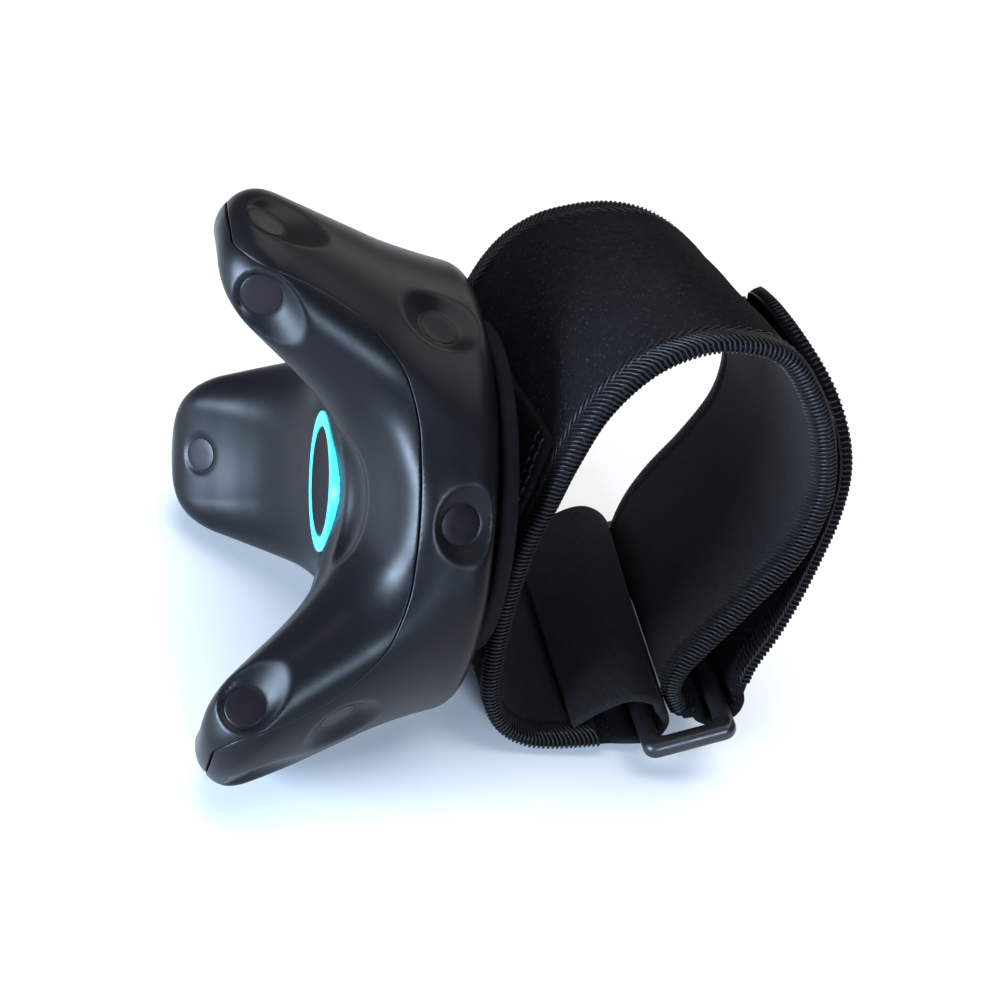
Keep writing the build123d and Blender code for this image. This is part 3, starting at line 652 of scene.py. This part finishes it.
def shell_piece(name, points, faces, keep_above, replaced):
    """One half of the case as a closed wall with a rounded lip along the seam."""
    sign = 1 if keep_above else -1
    points, faces, rim = clip_side(points, faces, SEAM_GAP * sign, keep_above)
    used = np.unique(np.concatenate([np.array(face) for face in faces]))
    renumber = np.full(len(points), -1)
    renumber[used] = np.arange(len(used))
    points = points[used]
    faces = [tuple(renumber[list(face)]) for face in faces]
    rim = [(renumber[a], renumber[b]) for a, b in rim]
    normals = gradient(outer_form, points, 0.15)
    normals /= np.linalg.norm(normals, axis=1)[:, None]
    towards = -gradient(seam_field, points, 0.05) * sign
    towards -= (towards * normals).sum(1)[:, None] * normals
    towards /= np.maximum(np.linalg.norm(towards, axis=1), 1e-6)[:, None]
    count = len(points)
    inner_points = points - normals * SHELL_WALL
    all_points = [points, inner_points]
    all_faces = list(faces) + [tuple(index + count for index in face[::-1]) for face in faces]
    rim_ids = sorted({index for edge in rim for index in edge})
    place_of = {index: order for order, index in enumerate(rim_ids)}
    rim_points = points[rim_ids]
    rings = []
    start = count * 2
    for reach, depth in SEAM_LIP:
        all_points.append(rim_points + towards[rim_ids] * reach - normals[rim_ids] * depth)
        rings.append(start)
        start += len(rim_ids)
    for a, b in rim:
        i, j = place_of[a], place_of[b]
        levels = [(a, b)] + [(base + i, base + j) for base in rings] + [(a + count, b + count)]
        for (top_a, top_b), (low_a, low_b) in zip(levels, levels[1:]):
            all_faces.append((top_b, top_a, low_a, low_b))
    return make_piece(name, puck_to_world(np.concatenate(all_points)), all_faces, CASE, "tracker",
                      replaces=replaced)


GRID_STEP = 0.55
net, quads = surface_net(outer_form, (-44.0, -47.0, -1.2), (52.0, 47.0, 44.0), GRID_STEP)
net = settle(outer_form, net, quads)
shell_piece("top_cover_shell", net, quads, True, ("top_cover",))
shell_piece("bottom_case_shell", net, quads, False, ("bottom_case",))


def turned_disc(profile, sides, centre, side, rise, normal):
    """Points and faces of a lathe-turned piece from a profile of (radius, height)."""
    points, faces = [], []
    for radius, height in profile:
        for index in range(sides):
            turn = 2 * math.pi * index / sides
            points.append(centre + side * radius * math.cos(turn) + rise * radius * math.sin(turn)
                          + normal * height)
    for row in range(len(profile) - 1):
        for index in range(sides):
            after = (index + 1) % sides
            faces.append((row * sides + index, row * sides + after,
                          (row + 1) * sides + after, (row + 1) * sides + index))
    faces.append(tuple(range(sides))[::-1])
    last = (len(profile) - 1) * sides
    faces.append(tuple(range(last, last + sides)))
    return points, faces


def join_lists(parts):
    """One list of points and one of faces from several parts."""
    points, faces = [], []
    for part_points, part_faces in parts:
        offset = len(points)
        points.extend(part_points)
        faces.extend(tuple(index + offset for index in face) for face in part_faces)
    return points, faces


window_profile = [(WINDOW_RADIUS, -0.5), (WINDOW_RADIUS, 0.02), (WINDOW_RADIUS - 0.06, 0.08),
                  (WINDOW_RADIUS - 0.2, 0.11), (WINDOW_RADIUS * 0.5, 0.13), (0.2, 0.14)]
WINDOW_SIDES = 48
window_parts = []
for spot, side, rise, normal, _, _, _, depth in DISHES:
    window_parts.append(turned_disc(window_profile, WINDOW_SIDES, spot - normal * depth, side, rise, normal))
points, faces = join_lists(window_parts)
make_piece("sensor_window_discs", puck_to_world(points), faces, WINDOW, "tracker",
           replaces=("sensor_windows",))

dress(CASE, "power_button")
dress(LIGHT, "light_ring")
dress(RUBBER, "base_pad", "mount_pad", "mount_plate")
dress(INSIDE, "inner_frame", "screw_posts")
dress(STEEL, "mount_screw", "screw_clip", "locating_pin", "case_screws", "usb_port", "radio_module")
dress(BRASS, "threaded_insert", "contact_pads")
dress(BOARD, "main_board", "usb_board", "contact_board", "sensor_boards")
dress(CHIP, "processor_chip", "motion_sensor", "tact_switch")
dress(CERAMIC, "antenna", "status_leds")
dress(FOIL, "battery")
dress(FILM, "flex_ribbon_up", "flex_ribbon_far", "flex_ribbon_near")
dress(RING, "buckle_ring")

# ---- Strap --------------------------------------------------------------------------------------------
def length_table(knots, samples=1600):
    """Smooth curve through section points, as an even table along its length."""
    knots = np.asarray(knots, float)
    ends = np.vstack([2 * knots[0] - knots[1], knots, 2 * knots[-1] - knots[-2]])
    rows = []
    for a, b, c, d in zip(ends, ends[1:], ends[2:], ends[3:]):
        t = np.linspace(0, 1, 60, endpoint=False)[:, None]
        rows.append(b + 0.5 * t * (c - a) + t**2 * (a - 2.5 * b + 2 * c - 0.5 * d)
                    + t**3 * (1.5 * (b - c) + 0.5 * (d - a)))
    dense = np.vstack([*rows, knots[-1:]])
    run = np.concatenate([[0], np.cumsum(np.linalg.norm(np.diff(dense, axis=0), axis=1))])
    even = np.linspace(0, run[-1], samples)
    return np.stack([np.interp(even, run, dense[:, k]) for k in (0, 1)], axis=1), run[-1]


class Ribbon:
    """A strip between two section curves, one at each edge of the strap, with a bulge along its middle."""

    STEP = 0.004            # share of the length over which its direction is taken

    def __init__(self, near, far=None, bulge=None):
        self.near, self.length = length_table(near)
        self.far = length_table(far)[0] if far is not None else self.near
        self.stations = np.linspace(0, 1, len(self.near))
        self.bulge = bulge

    def middle(self, t, across):
        share = (across / (STRAP_WIDTH / 2) + 1) / 2
        rows = []
        for k in (0, 1):
            near = np.interp(t, self.stations, self.near[:, k])
            far = np.interp(t, self.stations, self.far[:, k])
            rows.append(far + (near - far) * share)
        if self.bulge:
            rows[0] = rows[0] + self.bulge(t) * np.clip(1 - (across / (STRAP_WIDTH / 2))**2, 0, 1)
        return rows[0], rows[1]

    def place(self, t, across, height):
        """Section points at a share of the length, a place across and a height above the middle line."""
        a, b = self.middle(t, across)
        before = self.middle(np.clip(t - self.STEP, 0, 1), across)
        after = self.middle(np.clip(t + self.STEP, 0, 1), across)
        da, db = after[0] - before[0], after[1] - before[1]
        size = np.maximum(np.hypot(da, db), 1e-9)
        return np.stack([a - db / size * height, b + da / size * height, across], axis=-1)


def slab_profile(half, low, high, cells):
    """Closed outline of a strip's cross-section with rounded edges, as (across, height)."""
    middle, radius = (low + high) / 2, (high - low) / 2
    flat = np.linspace(-half + radius, half - radius, cells + 1)
    bend = np.linspace(-math.pi / 2, math.pi / 2, 9)[1:-1]
    right = np.stack([half - radius + radius * np.cos(bend), middle + radius * np.sin(bend)], axis=1)
    top = np.stack([flat[::-1], np.full(cells + 1, high)], axis=1)
    left = np.stack([-right[::-1, 0], right[::-1, 1]], axis=1)
    bottom = np.stack([flat, np.full(cells + 1, low)], axis=1)
    return np.vstack([bottom, right, top, left])


def swept(ribbon, start, stop, stations, profile, taper=None, swell=None):
    """Closed skin of a cross-section swept along a ribbon: points in the section's frame, and faces."""
    t = np.linspace(start, stop, stations)[:, None]
    across = np.broadcast_to(profile[:, 0], (stations, len(profile))).copy()
    height = np.broadcast_to(profile[:, 1], (stations, len(profile))).copy()
    if taper:
        across *= taper(t)
    if swell:
        height += swell(t, across, height)
    grid = ribbon.place(np.broadcast_to(t, across.shape), across, height)
    count = len(profile)
    faces = []
    for row in range(stations - 1):
        for index in range(count):
            after = (index + 1) % count
            faces.append((row * count + index, (row + 1) * count + index,
                          (row + 1) * count + after, row * count + after))
    faces.append(tuple(range(count)))
    faces.append(tuple(range((stations - 1) * count, stations * count))[::-1])
    return grid.reshape(-1, 3), faces


def tube(line, radius, sides=5):
    """Points and faces of a round thread along a line."""
    line = np.asarray(line, float)
    ahead = np.gradient(line, axis=0)
    ahead /= np.linalg.norm(ahead, axis=1)[:, None]
    side = np.cross(ahead, (0.31, 0.22, 0.92))
    side /= np.linalg.norm(side, axis=1)[:, None]
    rise = np.cross(ahead, side)
    turns = np.linspace(0, 2 * math.pi, sides, endpoint=False)
    rings = (line[:, None] + radius * (side[:, None] * np.cos(turns)[None, :, None]
                                       + rise[:, None] * np.sin(turns)[None, :, None]))
    faces = []
    for row in range(len(line) - 1):
        for index in range(sides):
            after = (index + 1) % sides
            faces.append((row * sides + index, row * sides + after,
                          (row + 1) * sides + after, (row + 1) * sides + index))
    faces.append(tuple(range(sides))[::-1])
    last = (len(line) - 1) * sides
    faces.append(tuple(range(last, last + sides)))
    return rings.reshape(-1, 3), faces


def strap_piece(name, parts, material, body, replaced=()):
    """One mesh piece from parts in the strap's section frame."""
    points, faces = join_lists(parts)
    points = section_to_world(np.array(points))
    return make_piece(name, points, faces, material, body, replaces=replaced)


# Middle line of the band at its two edges: (away from the puck, up), from the anchor round to the ring.
BAND_NEAR = ((29.5, -34.6), (20.0, -35.2), (14.6, -34.4), (10.0, -31.0), (7.2, -24.5), (6.2, -14.5),
             (6.2, -3.0), (7.2, 6.3), (9.2, 14.5), (11.2, 22.5), (14.2, 31.5), (19.5, 39.0), (26.0, 43.0),
             (32.5, 43.9), (39.8, 42.2), (45.2, 36.8), (49.9, 28.8), (52.9, 19.0), (52.8, 11.0),
             (51.0, 3.6), (46.3, -4.9), (42.0, -13.0), (39.0, -20.2), (39.3, -26.0), (42.2, -31.0))
BAND_FAR = ((29.5, -34.8), (20.0, -35.4), (14.0, -34.4), (9.0, -30.5), (6.4, -24.0), (5.6, -14.0),
            (5.2, -3.0), (4.8, 6.3), (4.2, 15.0), (4.2, 23.0), (7.6, 31.0), (12.5, 35.9), (18.5, 38.4),
            (25.0, 39.4), (31.0, 38.3), (37.5, 34.6), (44.0, 28.5), (49.5, 21.0), (53.0, 13.5),
            (53.0, 4.5), (49.2, -5.0), (44.5, -13.0), (41.6, -19.5), (40.4, -26.0), (42.2, -31.0))
BAND_HALF = 24.4            # half width of the fabric, inside the overlock
BAND_HALF_THICK = 1.3
LINING_HALF = 23.2
LINING_THICK = 0.5
THREAD_RADIUS = 0.23
# Middles of the buckle ring's inner and outer bar.
LEFT_BAR = (35.586, -32.789)
RIGHT_BAR = (47.614, -28.411)


def band_bulge(t):
    """The band stands off the puck where the mount sits between them."""
    return 2.4 * np.exp(-((t - 0.265) / 0.1)**4)


def ring_taper(t):
    """The band narrows a little where it runs into the ring."""
    return 1 - 0.1 * np.clip((t - 0.86) / 0.12, 0, 1)**2


BAND = Ribbon(BAND_NEAR, BAND_FAR, band_bulge)


def band_swell(t, across, height):
    """Soft rises and hollows of the padded band, with its edges drawn in under the overlock."""
    run = t * BAND.length
    soft = 0.16 * np.sin(run * 0.31 + across * 0.17) * np.sin(across * 0.23 + run * 0.11)
    edge = np.clip((np.abs(across) - 19.5) / 3.0, 0, 1)
    return (soft * (1 - edge) - 0.22 * edge) * np.sign(height)


def lining_swell(t, across, height):
    """The lining's edges follow the band's in under the overlock."""
    return 0.2 * np.clip((np.abs(across) - 19) / 3, 0, 1)


STATIONS = 420
band_profile = slab_profile(BAND_HALF, -BAND_HALF_THICK, BAND_HALF_THICK, 40)
band_skin = swept(BAND, 0.0, 1.0, STATIONS, band_profile, ring_taper, band_swell)
band_piece = strap_piece("band_fabric", [band_skin], LOOP, "strap", ("strap_band",))
lining_profile = slab_profile(LINING_HALF, -BAND_HALF_THICK - LINING_THICK, -BAND_HALF_THICK + 0.1, 30)
lining_skin = swept(BAND, 0.012, 0.97, STATIONS, lining_profile, ring_taper, lining_swell)
strap_piece("band_inner_lining", [lining_skin], LINING, "strap", ("band_lining",))

STITCH_PITCH = 0.78
STITCH_SLANT = 2.7          # along the band, from a thread's row outside to its turn at the edge
STITCH_START, STITCH_SHARE = 0.006, 0.985       # where the threads begin, and their share of the band
STITCH_JITTER = 0.25
EDGE = STRAP_WIDTH / 2 - 0.35
EDGE_ROW = 4.8              # how far the overlock reaches in from the edge
# One thread from the outside of the band round its edge to the inside: place in from the edge (its two ends
# vary), height above the band's middle line, and place along in slants.
WRAP_IN = np.array([EDGE_ROW, 3.1, 1.5, 0.45, 0.1, 0.45, 1.5, 3.1, EDGE_ROW])
WRAP_HEIGHT = np.array([0.85, 1.2, 1.22, 0.8, -0.1, -1.0, -1.6, -1.72, -1.45])
WRAP_ALONG = np.array([-1.0, -0.45, 0.0, 0.25, 0.3, 0.35, 0.55, 0.95, 1.4])
# The shorter cross thread on the outside.
CROSS_REACH = np.array([EDGE - EDGE_ROW - 0.7, EDGE - EDGE_ROW + 0.6, EDGE - 2.6])
CROSS_HEIGHT = np.array([0.8, 1.3, 1.25])
CROSS_ALONG = np.array([1.7, 1.0, 0.0])


def overlock(side, replaced):
    """Slanted threads that wrap one edge of the band, with a cross thread at every other one."""
    parts = []
    count = int(BAND.length * STITCH_SHARE / STITCH_PITCH)
    slant = STITCH_SLANT / BAND.length
    jitter = np.random.default_rng(7 if side > 0 else 11)
    for index in range(count):
        start = (index + 0.3) / count * STITCH_SHARE + STITCH_START
        wobble = jitter.uniform(-STITCH_JITTER, STITCH_JITTER, 3)
        reach = EDGE - WRAP_IN
        reach[0] += wobble[0]
        reach[-1] += wobble[1]
        along = np.clip(start + slant * WRAP_ALONG + wobble[2] * 0.1 / BAND.length, 0, 1)
        line = BAND.place(along, side * reach * ring_taper(along), WRAP_HEIGHT)
        parts.append(tube(line, THREAD_RADIUS))
        if index % 2 == 0:
            along = np.clip(start + slant * CROSS_ALONG, 0, 1)
            parts.append(tube(BAND.place(along, side * CROSS_REACH * ring_taper(along), CROSS_HEIGHT), 0.2))
    name = "overlock_near" if side > 0 else "overlock_far"
    strap_piece(name, parts, THREAD, "strap", replaced)


overlock(1, ("edge_binding_near",))
overlock(-1, ("edge_binding_far",))

# Patch between the mount plate and the band, sewn down with two rows of stitches.
PATCH_FROM, PATCH_TO = 0.165, 0.385
PATCH_HALF = 19.5
PATCH_TOP = 2.3             # above the band's middle line
PATCH_STITCH_PITCH = 2.3
PATCH_STITCH_ALONG = np.array([0.0, 0.35, 1.0, 1.65, 2.0])
PATCH_STITCH_ASIDE = np.array([0.0, 0.05, 0.1, 0.05, 0.0])
PATCH_STITCH_HEIGHT = np.array([2.1, 2.5, 2.6, 2.5, 2.1])
patch_profile = slab_profile(PATCH_HALF, BAND_HALF_THICK - 0.1, PATCH_TOP, 24)
patch_skin = swept(BAND, PATCH_FROM, PATCH_TO, 60, patch_profile)
strap_piece("sewn_patch", [patch_skin], LOOP, "strap", ("mount_patch",))
patch_stitches = []
for side in (-1, 1):
    for row in (PATCH_HALF - 1.6, PATCH_HALF - 3.6):
        for t in np.arange(PATCH_FROM + 0.008, PATCH_TO - 0.008, PATCH_STITCH_PITCH / BAND.length):
            line = BAND.place(t + PATCH_STITCH_ALONG / BAND.length, side * (row + PATCH_STITCH_ASIDE),
                              PATCH_STITCH_HEIGHT)
            patch_stitches.append(tube(line, 0.26, 6))
strap_piece("patch_stitches", patch_stitches, THREAD, "strap")


def arc_points(centre, radius, first, last, steps):
    """Points on an arc between two angles in degrees."""
    turns = np.radians(np.linspace(first, last, steps))
    return [(centre[0] + radius * math.cos(turn), centre[1] + radius * math.sin(turn)) for turn in turns]


# The anchor wraps the inner bar and comes back over itself; the fold wraps the outer bar.
ANCHOR_TURN = 3.6           # radius at which the anchor goes round its bar
FOLD_TURN = 3.8
ANCHOR_START = ((25.0, -35.2), (30.0, -36.2))
ANCHOR = Ribbon([*ANCHOR_START, *arc_points(LEFT_BAR, ANCHOR_TURN, -80, 60, 6),
                 (36.0, -27.6), (31.5, -26.9), (27.0, -29.2), (23.0, -32.6)],
                [*ANCHOR_START, *arc_points(LEFT_BAR, ANCHOR_TURN, -80, 40, 6),
                 (37.6, -24.4), (33.0, -21.2), (27.5, -23.6), (22.0, -30.6)])
ANCHOR_STITCH_ACROSS = np.array([0, 0.4, 1.0, 1.6, 2.0])
ANCHOR_STITCH_HEIGHT = np.array([0.5, 0.85, 0.95, 0.85, 0.5])
anchor_parts = [swept(ANCHOR, 0, 1, 90, slab_profile(22.8, -0.75, 0.75, 24))]
for row in (0.9, 0.96):
    for across in np.arange(-21.5, 20.5, 2.4):
        line = ANCHOR.place(np.full(5, row), across + ANCHOR_STITCH_ACROSS, ANCHOR_STITCH_HEIGHT)
        anchor_parts.append(tube(line, 0.24, 6))
strap_piece("anchor_wrap", anchor_parts, WEBBING, "strap", ("anchor_loop",))

TAIL_HALF = 22.0
TAIL_HALF_THICK = 1.1
FOLD = Ribbon([(42.2, -30.6), *arc_points(RIGHT_BAR, FOLD_TURN, 212, 385, 9)])
fold_skin = swept(FOLD, 0, 1, 70, slab_profile(22.6, -TAIL_HALF_THICK, TAIL_HALF_THICK, 24))
strap_piece("fold_wrap", [fold_skin], LOOP, "strap", ("tail_fold",))

# The tail climbs the outside of the band and ends in a rounded tab. Its ribbon runs from the tab to the root.
TAIL_CLIMB = ((56.2, 3.0), (55.2, -5.0), (53.6, -13.0), (51.4, -20.5), (51.06, -26.81))
TAIL = Ribbon(((49.4, 37.2), (53.4, 30.5), (56.0, 22.0), (56.9, 12.0), *TAIL_CLIMB),
              ((45.6, 34.4), (50.6, 28.0), (54.2, 20.5), (56.2, 11.5), *TAIL_CLIMB))


def tab_taper(t):
    """Half width of the tail as a share: a half round at its free end."""
    left = np.clip(t * TAIL.length / TAIL_HALF, 0, 1)
    return np.sqrt(np.maximum(1 - (1 - left)**2, 0.0))


tail_profile = slab_profile(TAIL_HALF, -TAIL_HALF_THICK, TAIL_HALF_THICK, 30)
tail_skin = swept(TAIL, 0.0008, 1.0, 120, tail_profile, tab_taper)
tail_piece = strap_piece("tail_fabric", [tail_skin], LOOP, None)

# Hook field on the tail's inside: rows of small hooks that lean to one side and the other by turns.
HOOK_FROM, HOOK_TO = 9.0, 36.0          # from the tail's free end
HOOK_PITCH = 1.5
HOOK_LEAN = 0.35
HOOK_HEIGHT = np.array([-1.5, -1.8, -2.0, -1.85])
hook_parts = [swept(TAIL, HOOK_FROM / TAIL.length, HOOK_TO / TAIL.length, 40,
                    slab_profile(19.0, -1.55, -1.0, 20))]
for run in np.arange(HOOK_FROM + HOOK_PITCH, HOOK_TO - 1.0, HOOK_PITCH):
    lean_out = HOOK_LEAN if int(run / HOOK_PITCH) % 2 else -HOOK_LEAN
    along = (run + np.array([0.0, 0.0, lean_out, lean_out * 1.6])) / TAIL.length
    for across in np.arange(-18.6, 18.7, HOOK_PITCH):
        hook_parts.append(tube(TAIL.place(along, np.full(4, across), HOOK_HEIGHT), 0.12, 4))
strap_piece("hook_field", hook_parts, HOOKS, "strap_tail", ("hook_patch",))

ROOT_CLEAR = 3.0            # the tail's overlock stops this far short of its root


def tail_outline(run):
    """Place and inward direction at a run along the tail's outline, from root round the tab to root."""
    straight = TAIL.length - TAIL_HALF - ROOT_CLEAR
    bend = math.pi * TAIL_HALF
    if run < straight:
        return (straight + TAIL_HALF - run, TAIL_HALF), (0.0, -1.0)
    if run < straight + bend:
        turn = (run - straight) / TAIL_HALF
        inward = (math.sin(turn), -math.cos(turn))
        return (TAIL_HALF - TAIL_HALF * inward[0], -TAIL_HALF * inward[1]), inward
    return (run - straight - bend + TAIL_HALF, -TAIL_HALF), (0.0, 1.0)


# One thread of the tail's edge: its reach in from the outline outside and, a little further on, inside.
TAIL_THREAD_OUT = np.array([3.6, 1.3, 0.0, -0.1, 0.0])
TAIL_THREAD_IN = np.array([0.0, 1.3, 3.6])
TAIL_THREAD_HEIGHT = np.array([1.0, 1.28, 0.85, 0.0, -0.7, -0.9, -1.25, -1.0])
TAIL_THREAD_SLANT = 1.1
outline_length = 2 * TAIL.length - 44 - 6.5 + math.pi * TAIL_HALF
tail_threads = []
for run in np.arange(0.5, outline_length, STITCH_PITCH * 1.2):
    parts = []
    for at, reach in ((run, TAIL_THREAD_OUT), (run + TAIL_THREAD_SLANT, TAIL_THREAD_IN)):
        spot, inward = tail_outline(at)
        parts.append(np.array(spot)[:, None] + np.array(inward)[:, None] * reach)
    along, across = np.concatenate(parts, axis=1)
    tail_threads.append(tube(TAIL.place(along / TAIL.length, across, TAIL_THREAD_HEIGHT), THREAD_RADIUS))
tail_edge = strap_piece("tail_overlock", tail_threads, THREAD, None)

# The tail's fabric and its overlock are baked into place on no body, and the CAD tail is hidden.
for piece, slot_name in ((tail_piece, "loop_fabric"), (tail_edge, "edge_thread")):
    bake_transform(piece)
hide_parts("strap_tail")


# ---- Floor, light and camera --------------------------------------------------------------------------
def make_stage():
    reach = 3.0
    corners = [(-reach, -reach, 0), (reach, -reach, 0), (reach, reach, 0), (-reach, reach, 0)]
    floor_shader = Shader("floor_white", (0.93, 0.93, 0.93), 0.9)
    floor = make_piece("floor", corners, [(0, 1, 2, 3)], floor_shader.material, None, smooth=False)


def add_area(name, place, target, size, power, color=(1, 1, 1)):
    """A soft rectangular light that the camera doesn't see."""
    light = bpy.data.lights.new(name, "AREA")
    light.shape = "RECTANGLE"
    light.size, light.size_y = size
    light.energy = power
    light.color = color
    lamp = bpy.data.objects.new(name, light)
    bpy.context.collection.objects.link(lamp)
    lamp.location = place
    lamp.visible_camera = False
    lamp.rotation_euler = (Vector(target) - Vector(place)).to_track_quat("-Z", "Y").to_euler()


def make_lights():
    world = bpy.data.worlds.new("studio")
    bpy.context.scene.world = world
    world.use_nodes = True
    sky = world.node_tree.nodes["Background"]
    sky.inputs["Color"].default_value = (1.0, 1.0, 1.0, 1.0)
    sky.inputs["Strength"].default_value = 0.16
    cool = (0.58, 0.75, 1.0)
    add_area("low_left", (-0.42, -0.15, 0.065), (-0.03, 0.02, 0.03), (0.24, 0.11), 8.5, cool)
    add_area("front", (0.02, -0.6, 0.235), (-0.02, -0.03, 0.04), (0.16, 0.1), 3.6, cool)
    add_area("back", (0.5, 0.62, 0.46), (0, 0.02, 0.04), (0.5, 0.3), 0.8)
    add_area("top", (0.1, 0.15, 1.1), (0.05, 0.05, 0), (1.1, 1.1), 12.5)


CAMERA_PLACE = (-0.0857, -0.2278, 0.2002)
CAMERA_ROWS = ((0.9489, -0.0865, -0.3030), (-0.1904, 0.6095, -0.7696), (0.2512, 0.7880, 0.5619))


def make_camera():
    data = bpy.data.cameras.new("camera")
    data.lens = 64.8
    data.sensor_width = 36.0
    data.clip_start = 0.01
    camera = bpy.data.objects.new("camera", data)
    bpy.context.collection.objects.link(camera)
    camera.matrix_world = Matrix.Translation(CAMERA_PLACE) @ Matrix(CAMERA_ROWS).to_4x4()
    bpy.context.scene.camera = camera


make_stage()
make_lights()
make_camera()
bpy.context.scene.view_settings.view_transform = "Standard"
